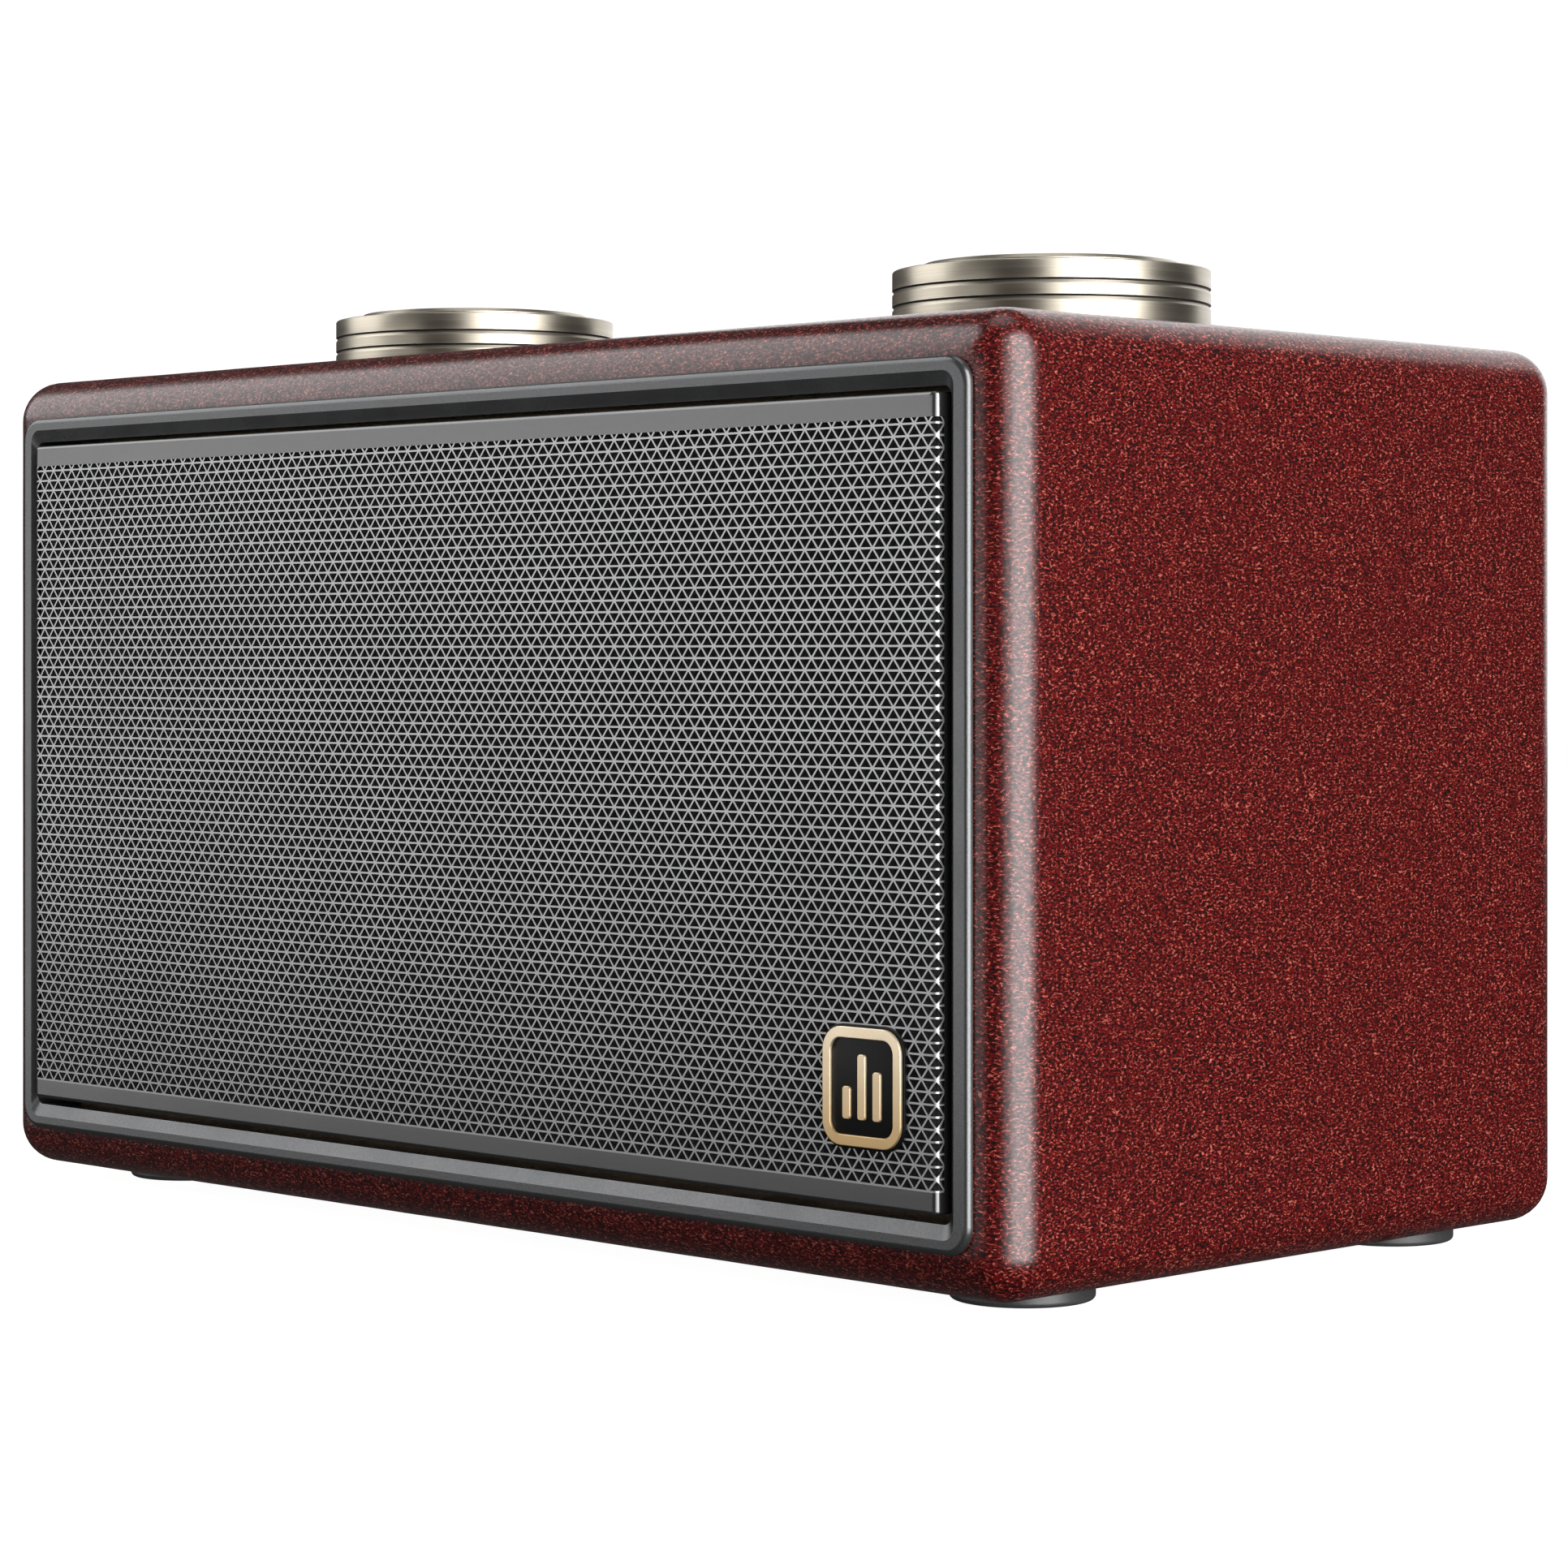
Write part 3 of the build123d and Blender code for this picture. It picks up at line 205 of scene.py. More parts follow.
def make_weave():
    """Plain weave of crossing threads on an upright sheet."""
    tree, given, result = new_group("weave", {"Threads": 1800.0}, ["Height", "Tone"])
    split = object_axes(tree)
    turn = maths(tree, "MULTIPLY", given.outputs["Threads"], pi)
    warp = maths(tree, "SINE", maths(tree, "MULTIPLY", split["X"], turn))
    weft = maths(tree, "SINE", maths(tree, "MULTIPLY", split["Z"], turn))
    crossing = between(tree, maths(tree, "MULTIPLY", warp, weft), -1.0, 1.0)
    fuzz = noise_value(tree, object_place(tree), 4000.0, 3.0)
    join(tree, result.inputs["Height"], maths(tree, "ADD", crossing, maths(tree, "MULTIPLY", fuzz, 0.4)))
    join(tree, result.inputs["Tone"], maths(tree, "MULTIPLY", crossing, between(tree, fuzz, 0.2, 0.8)))
    return tree


EFFECTS = {"speckle": make_speckle(), "turning": make_turning(), "worn_edge": make_worn_edge(),
           "settled_dust": make_settled_dust(), "weave": make_weave()}


def effect(tree, name, **values):
    """Places a shared effect in a material and returns its outputs."""
    node = tree.nodes.new("ShaderNodeGroup")
    node.node_tree = EFFECTS[name]
    for key, value in values.items():
        join(tree, node.inputs[key.replace("_", " ").title()], value)
    return node.outputs


# ---- finishes -----------------------------------------------------------------------------------

def new_finish(name, **sockets):
    """A material with a Principled shader; sockets are plain values that hold all over."""
    made = bpy.data.materials.new(name)
    made.use_nodes = True
    shader = made.node_tree.nodes["Principled BSDF"]
    for key, value in sockets.items():
        shader.inputs[key.replace("_", " ")].default_value = value
    return made, made.node_tree, shader


def raise_surface(tree, shader, height, distance, strength):
    """Bumps the surface by a height map; the distance is the real depth in metres."""
    bump = add(tree, "ShaderNodeBump", {"Height": height, "Distance": distance, "Strength": strength})
    join(tree, shader.inputs["Normal"], bump.outputs["Normal"])


def leather_finish():
    """Deep red hide with fine wrinkles that run mostly level: dark pits of painted shade and thin pale ridges
    of painted highlight.
    """
    made, tree, shader = new_finish("wrinkled_red_leather", Coat_Roughness=0.25, Coat_IOR=1.5,
                                    Specular_IOR_Level=0.03)
    # The pit and crest colours are painted shade and painted highlight on the wrinkles; the hide colour
    # between them is the leather's own.
    pit_shade, hide, crest_highlight = (0.001, 0.0, 0.0), (0.064, 0.0, 0.0003), (0.38, 0.105, 0.07)
    dust = (0.35, 0.28, 0.25)
    wander_scale, wrinkle_scale, pore_scale, patch_scale = 500.0, 1080.0, 1450.0, 30.0
    wander_reach, ridge_width = 0.0010, 0.06
    level_place = object_place(tree, (1.0, 1.0, 1.9))
    wander = add(tree, "ShaderNodeTexNoise", {
        "Vector": level_place, "Scale": wander_scale, "Detail": 2.0}).outputs["Color"]
    drift = add(tree, "ShaderNodeVectorMath", {0: wander, 1: (wander_reach,) * 3},
                operation="MULTIPLY").outputs["Vector"]
    wandering = add(tree, "ShaderNodeVectorMath", {0: level_place, 1: drift},
                    operation="ADD").outputs["Vector"]
    wave = noise_value(tree, wandering, wrinkle_scale, 1.0, 0.4)
    off_crest = maths(tree, "ABSOLUTE", maths(tree, "SUBTRACT", wave, 0.5))
    ridge = between(tree, off_crest, 0.0, ridge_width, 1.0, 0.0)
    pores = between(tree, noise_value(tree, wandering, pore_scale, 1.0, 0.4), 0.38, 0.62)
    height = maths(tree, "ADD", maths(tree, "MULTIPLY", ridge, 0.6), pores)
    patches = noise_value(tree, object_place(tree), patch_scale, 5.0, 0.6)
    # Blends in the painted pit shade, then the painted crest highlight, by the wrinkle height.
    ground = blend_colour(tree, between(tree, height, 0.15, 0.75), opaque(pit_shade), opaque(hide))
    skin = blend_colour(tree, between(tree, height, 1.05, 1.6), ground, opaque(crest_highlight))
    aged_with_painted_light = blend_colour(tree, between(tree, patches, 0.3, 0.7, 0.0, 0.22), skin, shaded(hide, 0.5))
    dusty = effect(tree, "settled_dust", amount=0.04)["Mask"]
    join(tree, shader.inputs["Base Color"], blend_colour(tree, dusty, aged_with_painted_light, opaque(dust)))
    join(tree, shader.inputs["Roughness"], between(tree, height, 0.2, 1.4, 0.75, 0.5))
    join(tree, shader.inputs["Coat Weight"], between(tree, height, 0.1, 0.9, 0.82, 1.0))
    raise_surface(tree, shader, height, distance=0.00012, strength=0.5)
    return made


def painted_finish(name, colour, roughness, metallic=0.0, grain=2600.0, depth=0.00002, wear=0.25,
                   specular=0.5):
    """Sprayed or moulded coat: fine speckle, slow marks in the gloss, paler worn edges, some dust."""
    made, tree, shader = new_finish(name, Metallic=metallic, Specular_IOR_Level=specular)
    marks = effect(tree, "speckle", grain=grain, marks=55.0)
    worn = effect(tree, "worn_edge", width=0.00035, patches=260.0)["Mask"]
    dusty = effect(tree, "settled_dust", amount=0.12)["Mask"]
    coat = blend_colour(tree, marks["Grain Tone"], shaded(colour, 0.88), shaded(colour, 1.1))
    rubbed = blend_colour(tree, maths(tree, "MULTIPLY", worn, wear), coat,
                          opaque([min(1.0, 0.08 + channel * 1.7) for channel in colour]))
    join(tree, shader.inputs["Base Color"],
         blend_colour(tree, dusty, rubbed, opaque((0.4, 0.38, 0.36))))
    join(tree, shader.inputs["Roughness"],
         spread(tree, marks["Marks Tone"], roughness - 0.05, roughness + 0.06))
    raise_surface(tree, shader, marks["Height"], distance=depth, strength=0.5)
    return made


def turned_finish(name, colour, roughness, axis=(0, 0, 0), anisotropic=0.0):
    """Metal cut on a lathe, with fine rings and slightly uneven tone."""
    made, tree, shader = new_finish(name, Metallic=1.0, Anisotropic=anisotropic, Anisotropic_Rotation=0.25)
    rings = effect(tree, "turning", axis=axis, lines=4000.0)
    marks = effect(tree, "speckle", grain=900.0, marks=90.0)
    worn = effect(tree, "worn_edge", width=0.0003, patches=500.0)["Mask"]
    cut = blend_colour(tree, rings["Tone"], shaded(colour, 0.92), shaded(colour, 1.05))
    toned = blend_colour(tree, spread(tree, marks["Marks Tone"], 0.0, 0.3), cut,
                         shaded(colour, 0.86))
    join(tree, shader.inputs["Base Color"],
         blend_colour(tree, maths(tree, "MULTIPLY", worn, 0.5), toned, opaque((0.85, 0.82, 0.76))))
    join(tree, shader.inputs["Roughness"],
         spread(tree, rings["Band"], roughness - 0.03, roughness + 0.04))
    if anisotropic:
        round_axis = add(tree, "ShaderNodeTangent", direction_type="RADIAL", axis="Z")
        join(tree, shader.inputs["Tangent"], round_axis.outputs["Tangent"])
    raise_surface(tree, shader, rings["Height"], distance=0.000004, strength=0.6)
    return made


def woven_finish(name, colour, threads):
    """Plain woven or pressed fibre: dull, and darker between its threads."""
    made, tree, shader = new_finish(name, Sheen_Weight=0.15, Specular_IOR_Level=0.2)
    cloth = effect(tree, "weave", threads=threads)
    join(tree, shader.inputs["Base Color"],
         blend_colour(tree, cloth["Tone"], shaded(colour, 0.4), shaded(colour, 1.5)))
    join(tree, shader.inputs["Roughness"], spread(tree, cloth["Tone"], 0.9, 0.8))
    raise_surface(tree, shader, cloth["Height"], distance=0.00012, strength=0.8)
    return made


def grille_finish(name, colour, roughness, metallic, low, high):
    """Satin coat on the pierced sheet, with painted shade that darkens it towards the bottom."""
    made, tree, shader = new_finish(name, Metallic=metallic)
    marks = effect(tree, "speckle", grain=3000.0, marks=40.0)
    # Painted shade: the colour darkens towards the bottom of the sheet.
    painted_shade_by_height = between(tree, object_axes(tree)["Z"], low, high)
    tone = blend_colour(tree, painted_shade_by_height, shaded(colour, 0.68), shaded(colour, 1.0))
    grained = blend_colour(tree, spread(tree, marks["Grain Tone"], 0.0, 0.12), tone,
                           shaded(colour, 0.5))
    worn = effect(tree, "worn_edge", width=0.00015, patches=700.0)["Mask"]
    join(tree, shader.inputs["Base Color"],
         blend_colour(tree, maths(tree, "MULTIPLY", worn, 0.35), grained,
                      opaque([min(1.0, channel * 1.5) for channel in colour])))
    join(tree, shader.inputs["Roughness"],
         spread(tree, marks["Marks Tone"], roughness - 0.04, roughness + 0.05))
    raise_surface(tree, shader, marks["Height"], distance=0.00001, strength=0.4)
    return made


def board_finish():
    """Circuit board lacquer with copper tracks showing through."""
    made, tree, shader = new_finish("lacquered_board", Coat_Weight=0.4, Coat_Roughness=0.25)
    cells = add(tree, "ShaderNodeTexVoronoi", {"Vector": object_place(tree), "Scale": 420.0},
                distance="MANHATTAN")
    tracks = between(tree, cells.outputs["Distance"], 0.45, 0.55)
    marks = effect(tree, "speckle", grain=1800.0, marks=70.0)
    lacquer = blend_colour(tree, tracks, opaque((0.012, 0.085, 0.035)), opaque((0.03, 0.16, 0.06)))
    join(tree, shader.inputs["Base Color"],
         blend_colour(tree, spread(tree, marks["Marks Tone"], 0.0, 0.3), lacquer,
                      opaque((0.01, 0.05, 0.02))))
    join(tree, shader.inputs["Roughness"], spread(tree, marks["Grain Tone"], 0.35, 0.5))
    raise_surface(tree, shader, tracks, distance=0.00004, strength=0.6)
    return made


def fibreboard_finish():
    """Raw board: pale fibres that run front to back, with darker chips."""
    made, tree, shader = new_finish("raw_fibreboard", Specular_IOR_Level=0.2)
    fibre = noise_value(tree, object_place(tree, (1.0, 0.25, 1.0)), 1400.0, 5.0, 0.7)
    chips = noise_value(tree, object_place(tree), 300.0, 3.0)
    wood = blend_colour(tree, between(tree, fibre, 0.3, 0.7), opaque((0.30, 0.20, 0.12)),
                        opaque((0.55, 0.42, 0.29)))
    join(tree, shader.inputs["Base Color"],
         blend_colour(tree, between(tree, chips, 0.4, 0.8, 0.0, 0.4), wood, opaque((0.22, 0.14, 0.08))))
    join(tree, shader.inputs["Roughness"], between(tree, fibre, 0.3, 0.7, 0.95, 0.75))
    raise_surface(tree, shader, fibre, distance=0.0001, strength=0.7)
    return made


def gold_finish(low, high):
    """Pale gold of the badge's raised ornament, with painted shade that deepens it towards its foot."""
    made, tree, shader = new_finish("pale_gold", Metallic=0.75)
    marks = effect(tree, "speckle", grain=3500.0, marks=300.0)
    # Painted shade: the gold darkens from the top of the ornament down to its foot.
    metal = blend_colour(tree, between(tree, object_axes(tree)["Z"], low, high),
                         opaque((0.42, 0.275, 0.12)), opaque((0.72, 0.60, 0.44)))
    join(tree, shader.inputs["Base Color"],
         blend_colour(tree, spread(tree, marks["Grain Tone"], 0.0, 0.12), metal,
                      opaque((0.4, 0.28, 0.15))))
    join(tree, shader.inputs["Roughness"], spread(tree, marks["Marks Tone"], 0.3, 0.4))
    raise_surface(tree, shader, marks["Height"], distance=0.000006, strength=0.5)
    return made


def lamp_finish():
    """Milky light guide."""
    made, tree, shader = new_finish("milky_light_guide", Subsurface_Weight=0.3,
                                    Subsurface_Radius=(0.001, 0.001, 0.001), Subsurface_Scale=1.0)
    marks = effect(tree, "speckle", grain=1500.0, marks=400.0)
    join(tree, shader.inputs["Base Color"],
         blend_colour(tree, marks["Marks Tone"], opaque((0.62, 0.62, 0.58)), opaque((0.8, 0.8, 0.76))))
    join(tree, shader.inputs["Roughness"], spread(tree, marks["Grain Tone"], 0.2, 0.32))
    return made


# ---- meshes -------------------------------------------------------------------------------------

def new_piece(name, bm, finishes, stands_for, body="cabinet", crease=radians(35)):
    """Turns a bmesh into a piece that stands for a CAD node, shaded smooth between its creases."""
    bmesh.ops.recalc_face_normals(bm, faces=bm.faces)
    bm.edges.index_update()
    rims = [edge.index for edge in bm.edges if edge.is_boundary]
    mesh = bpy.data.meshes.new(name)
    bm.to_mesh(mesh)
    bm.free()
    mesh.shade_smooth()
    mesh.set_sharp_from_angle(angle=crease)
    for index in rims:
        mesh.edges[index].use_edge_sharp = True
    for finish in finishes:
        mesh.materials.append(finish)
    piece = bpy.data.objects.new(name, mesh)
    SCENE.collection.objects.link(piece)
    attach(piece, body)
    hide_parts(stands_for)
    return piece


def cut_at(bm, axis, level, outward=1.0, drop_outer=False):
    """Cuts every face at a plane square to an axis, and may drop what lies past it."""
    normal, at = Vector(), Vector()
    normal[axis], at[axis] = outward, level
    bmesh.ops.bisect_plane(bm, geom=bm.verts[:] + bm.edges[:] + bm.faces[:], dist=CUT_LEEWAY,
                           plane_co=at, plane_no=normal, clear_outer=drop_outer)


def turned_mesh(outline, centre, shade_rings):
    """Revolves (radius, height) points about an upright axis; the dark rings take the second finish, which
    paints the shade in the grooves.
    """
    steps = 192
    turns = [2 * pi * step / steps for step in range(steps)]
    bm = bmesh.new()
    rings = []
    for radius, height in outline:
        if radius:
            rings.append([bm.verts.new((centre.x + radius * cos(turn), centre.y + radius * sin(turn), height))
                          for turn in turns])
        else:
            rings.append([bm.verts.new((centre.x, centre.y, height))])
    for place, (inner, outer) in enumerate(zip(rings, rings[1:])):
        for step in range(steps):
            after = (step + 1) % steps
            corners = [inner[step % len(inner)], inner[after % len(inner)],
                       outer[after % len(outer)], outer[step % len(outer)]]
            face = bm.faces.new(dict.fromkeys(corners))
            face.material_index = int(place in shade_rings)
    return bm


# ---- leather cover ------------------------------------------------------------------------------

def cover_levels(half, round_edge):
    """Where the cover is cut along one axis: evenly over the flat, and closer round both edges."""
    grid, edge_cuts = 4.0 * MM, 5
    flat = half - round_edge
    count = round(2 * flat / grid)
    levels = {round(-flat + 2 * flat * step / count, 6) for step in range(count + 1)}
    for step in range(edge_cuts):
        turn = round_edge * tan(radians(45) * step / edge_cuts)
        levels |= {round(side * (flat + turn), 6) for side in (-1, 1)}
    return levels


def leather_cover(finish):
    """The hide: a soft-edged skin over the box, open front and back, holed under each knob."""
    low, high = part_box("leather_wrap")
    centre, half = (low + high) / 2, (high - low) / 2
    round_edge, thickness, inset = 7.7 * MM, 1.0 * MM, 0.05 * MM
    swell_reach, swell_scale = 0.035 * MM, 90
    opening = Vector((120.0 * MM, 0, 65.0 * MM))
    well, well_square = 8.0 * MM, 12.0 * MM
    knob_low, knob_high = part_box("tuning_knob")
    knob_reach = knob_low.x / 2 + knob_high.x / 2
    seam_y, seam_half, seam_depth = 24.0 * MM, 0.6 * MM, 0.45 * MM
    own_levels = (
        {side * opening.x for side in (-1, 1)}
        | {side * (knob_reach + edge * well_square) for side in (-1, 1) for edge in (-1, 1)},
        {-well_square, well_square, seam_y - seam_half, seam_y, seam_y + seam_half},
        {side * opening.z for side in (-1, 1)})
    bm = bmesh.new()
    bmesh.ops.create_cube(bm, size=2.0)
    for vert in bm.verts:
        vert.co = Vector(side * reach for side, reach in zip(vert.co, half))
    for axis in range(3):
        for level in sorted(cover_levels(half[axis], round_edge) | own_levels[axis]):
            cut_at(bm, axis, level)
    gone = []
    for face in bm.faces:
        at = face.calc_center_median()
        in_opening = (abs(abs(at.y) - half.y) < TOUCHING and abs(at.x) < opening.x
                      and abs(at.z) < opening.z)
        under_knob = (abs(at.z - half.z) < TOUCHING and abs(abs(at.x) - knob_reach) < well_square
                      and abs(at.y) < well_square)
        if in_opening or under_knob:
            gone.append(face)
    bmesh.ops.delete(bm, geom=gone, context="FACES")
    for side in (-1, 1):
        ring_in(bm, Vector((side * knob_reach, 0, half.z)), well, well_square)
    for vert in bm.verts:
        core = Vector(max(-h + round_edge, min(h - round_edge, c)) for c, h in zip(vert.co, half))
        away = (vert.co - core).normalized()
        swell = noise.noise(vert.co * swell_scale) * swell_reach
        if abs(vert.co.y - seam_y) < NEARBY and vert.co.z < -half.z + NEARBY:
            swell = -seam_depth
        vert.co = centre + core + away * (round_edge - inset + swell)
    piece = new_piece("leather_cover", bm, [finish], "leather_wrap", crease=radians(50))
    shell = piece.modifiers.new("hide_thickness", "SOLIDIFY")
    shell.thickness, shell.offset, shell.use_even_offset = thickness - 2 * inset, -1.0, True


def ring_in(bm, centre, radius, half_square):
    """Joins a square gap in a level face to a round hole in its middle."""
    rim = [v for v in bm.verts if v.is_boundary and abs(v.co.z - centre.z) < TOUCHING
           and max(abs(v.co.x - centre.x), abs(v.co.y - centre.y)) < half_square + NEARBY]
    rim.sort(key=lambda v: atan2(v.co.y - centre.y, v.co.x - centre.x))
    hole = []
    for vert in rim:
        angle = atan2(vert.co.y - centre.y, vert.co.x - centre.x)
        hole.append(bm.verts.new(centre + Vector((radius * cos(angle), radius * sin(angle), 0))))
    for step in range(len(rim)):
        after = (step + 1) % len(rim)
        bm.faces.new((rim[step], rim[after], hole[after], hole[step]))


# ---- pierced grille -----------------------------------------------------------------------------

# Triangles of the lattice: how wide and how high each is, and the width of the bars between holes.
PITCH, ROW, BAR = 2.909 * MM, 1.86 * MM, 0.31 * MM


def triangle_lattice(bm, node_x, first_row, rows, columns):
    """Rows of triangles, alternately point up and point down, each with a hole in it."""
    nodes = {}

    def node(column, row):
        if (column, row) not in nodes:
            shift = 0.5 * (row % 2)
            nodes[column, row] = bm.verts.new((node_x - (column + shift) * PITCH, 0, first_row + row * ROW))
        return nodes[column, row]

    for row in rows:
        lean = row % 2
        for column in columns:
            near, far = node(column, row), node(column + 1, row)
            above, next_above = node(column + lean, row + 1), node(column + 1 + lean, row + 1)
            ring_with_hole(bm, (near, far, above))
            ring_with_hole(bm, (far, next_above, above))


def plain_bands(bm, pierced_end, end, zone, sheet_levels):
    """Faces above, below and at both ends of the pierced zone, out to the sheet's own outline."""
    sheet_corners = {(side, level): bm.verts.new((side * pierced_end, 0, level))
                     for side in (-1, 1) for level in sheet_levels}
    for side in (-1, 1):
        for level in zone:
            if not any(abs(v.co.x - side * pierced_end) < TOUCHING and abs(v.co.z - level) < TOUCHING
                       for v in bm.verts):
                bm.verts.new((side * pierced_end, 0, level))
    bands = []
    for level, outer in zip(reversed(zone), reversed(sheet_levels)):
        line = [v for v in bm.verts if abs(v.co.z - level) < TOUCHING]
        line.sort(key=lambda v: v.co.x)
        bands.append(bm.faces.new(line + [sheet_corners[1, outer], sheet_corners[-1, outer]]))
    for side in (-1, 1):
        line = [v for v in bm.verts if abs(v.co.x - side * pierced_end) < TOUCHING]
        line.sort(key=lambda v: v.co.z)
        tail = [bm.verts.new((side * end, 0, level)) for level in reversed(sheet_levels)]
        bands.append(bm.faces.new(line + tail))
    return bands


def pierced_grille(bar_finish, band_finish, hole_shade_finish):
    """Sheet of small triangular holes between two plain bands, bent back at both ends."""
    low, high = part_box("grille_panel")
    bend, sheet, edge, inset, lead_in = 1.2 * MM, 0.3 * MM, 0.5 * MM, 0.65 * MM, 0.15 * MM
    lower_band, upper_band, pierced_past_bend = 3.4 * MM, 3.8 * MM, 0.6 * MM
    node_x = 115.85 * MM
    bend_cuts, edge_cuts = 6, 4
    zone = (low.z + lower_band, high.z - upper_band)
    flat_half = high.x - inset - bend
    turn_length = bend * pi / 2
    end = flat_half + turn_length + (high.y - low.y - bend)
    pierced_end = flat_half + turn_length + pierced_past_bend
    first_row = zone[0] + BAR / 2
    rows = range(-1, int((zone[1] - first_row) / ROW) + 1)
    columns = range(-int((pierced_end - node_x) / PITCH) - 2, int((pierced_end + node_x) / PITCH) + 2)
    bm = bmesh.new()
    triangle_lattice(bm, node_x, first_row, rows, columns)
    cut_at(bm, 2, zone[1], 1, drop_outer=True)
    cut_at(bm, 2, zone[0], -1, drop_outer=True)
    cut_at(bm, 0, pierced_end, 1, drop_outer=True)
    cut_at(bm, 0, -pierced_end, -1, drop_outer=True)
    for band in plain_bands(bm, pierced_end, end, zone, (low.z, high.z)):
        band.material_index = 1
    bmesh.ops.recalc_face_normals(bm, faces=bm.faces)
    around = [flat_half - lead_in] + [flat_half + turn_length * step / bend_cuts
                                      for step in range(bend_cuts + 1)]
    for side in (-1, 1):
        for level in around:
            cut_at(bm, 0, side * level)
    rolls = [edge * (1 - cos(radians(90 * step / edge_cuts))) for step in range(1, edge_cuts + 1)]
    rolls.append(edge + lead_in)
    for level in [high.z - roll for roll in rolls] + [low.z + roll for roll in rolls]:
        cut_at(bm, 2, level)
    bmesh.ops.connect_verts_concave(bm, faces=[f for f in bm.faces if len(f.verts) > 4])
    for vert in bm.verts:
        vert.co = bent_place(vert.co, low, high, flat_half, bend, edge)
    piece = new_piece("pierced_grille", bm, [bar_finish, band_finish, hole_shade_finish],
                      "grille_panel", crease=radians(40))
    depth = piece.modifiers.new("sheet_thickness", "SOLIDIFY")
    depth.thickness, depth.offset = sheet, -1.0
    depth.material_offset_rim = 2  # the hole walls take the near-black finish: painted shade inside the holes


def ring_with_hole(bm, corners):
    """Fills one lattice triangle with a rim half a bar wide, leaving its middle open."""
    places = [corner.co.copy() for corner in corners]
    sides = [(places[1] - places[2]).length, (places[2] - places[0]).length,
             (places[0] - places[1]).length]
    middle = sum((place * side for place, side in zip(places, sides)), Vector()) / sum(sides)
    doubled_area = (places[1] - places[0]).cross(places[2] - places[0]).length
    inner_radius = doubled_area / sum(sides)
    share = 1 - BAR / 2 / inner_radius
    inner = [bm.verts.new(middle + (place - middle) * share) for place in places]
    for step in range(3):
        after = (step + 1) % 3
        bm.faces.new((corners[step], corners[after], inner[after], inner[step]))


def bent_place(flat, low, high, flat_half, bend, edge):
    """Where a point of the flat sheet lies once its ends are bent back and its edges eased."""
    side = 1 if flat.x > 0 else -1
    along = abs(flat.x) - flat_half
    turn_length = bend * pi / 2
    if along <= 0:
        x, y = abs(flat.x), low.y
    elif along < turn_length:
        angle = along / bend
        x, y = flat_half + bend * sin(angle), low.y + bend * (1 - cos(angle))
    else:
        x, y = flat_half + bend, low.y + bend + along - turn_length
    past = max(0.0, flat.z - (high.z - edge), (low.z + edge) - flat.z)
    eased = edge - sqrt(max(0.0, edge * edge - past * past))
    if along <= 0:
        y += eased
    elif along < turn_length:
        x -= eased * sin(along / bend)
        y += eased * cos(along / bend)
    else:
        x -= eased
    return Vector((side * x, y, flat.z))


# ---- cloth behind the grille ----------------------------------------------------------------------

def acoustic_cloth(finish):
    """Thin black cloth behind the grille, slightly uneven away from its glued edges."""
    low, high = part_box("grille_cloth")
    across, up, glued = 58, 31, 2
    clearance, unevenness, uneven_scale, thickness = 0.08 * MM, 0.04 * MM, 60, 0.16 * MM
    bm = bmesh.new()
    grid = [[bm.verts.new((low.x + (high.x - low.x) * i / across, low.y + clearance,
                           low.z + (high.z - low.z) * k / up)) for i in range(across + 1)]
            for k in range(up + 1)]
    for k in range(glued, up - glued + 1):
        for i in range(glued, across - glued + 1):
            grid[k][i].co.y += unevenness * noise.noise(grid[k][i].co * uneven_scale)
    for k in range(up):
        for i in range(across):
            bm.faces.new((grid[k][i], grid[k][i + 1], grid[k + 1][i + 1], grid[k + 1][i]))
    piece = new_piece("acoustic_cloth", bm, [finish], "grille_cloth")
    if piece.data.polygons[0].normal.y > 0:
        piece.data.flip_normals()
    depth = piece.modifiers.new("cloth_thickness", "SOLIDIFY")
    depth.thickness, depth.offset = thickness, -1.0


# ---- badge --------------------------------------------------------------------------------------

def outline_points(width, height, corner):
    """Rounded rectangle as (across, up) points, anticlockwise."""
    steps = 8
    points = []
    for turn, (sx, sz) in enumerate(((1, 1), (-1, 1), (-1, -1), (1, -1))):
        for step in range(steps + 1):
            angle = pi / 2 * (turn + step / steps)
            points.append((sx * (width / 2 - corner) + corner * cos(angle),
                           sz * (height / 2 - corner) + corner * sin(angle)))
    return points


def stacked_rings(bm, rings, centre):
    """Skins a stack of equal-length outlines, each at its own depth, and returns their points."""
    loops = [[bm.verts.new((centre.x + a, y, centre.z + b)) for a, b in points] for points, y in rings]
    count = len(loops[0])
    for first, second in zip(loops, loops[1:]):
        for step in range(count):
            after = (step + 1) % count
            bm.faces.new((first[step], first[after], second[after], second[step]))
    return loops


def closed_plate(bm, rings, centre):
    """The same, with both ends closed."""
    loops = stacked_rings(bm, rings, centre)
    bm.faces.new(loops[0])
    bm.faces.new(loops[-1])


def badge_back_plate(finish):
    """Dark rounded plate with an eased front edge."""
    low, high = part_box("badge_plate")
    width, height = high.x - low.x, high.z - low.z
    corner, ease = 4.2 * MM, 0.15 * MM
    first_ease = 0.3 * ease
    bm = bmesh.new()
    closed_plate(bm, [
        (outline_points(width, height, corner), high.y),
        (outline_points(width, height, corner), low.y + ease),
        (outline_points(width - 2 * first_ease, height - 2 * first_ease, corner - first_ease),
         low.y + first_ease),
        (outline_points(width - 2 * ease, height - 2 * ease, corner - ease), low.y)], (low + high) / 2)
    new_piece("badge_back_plate", bm, [finish], "badge_plate")


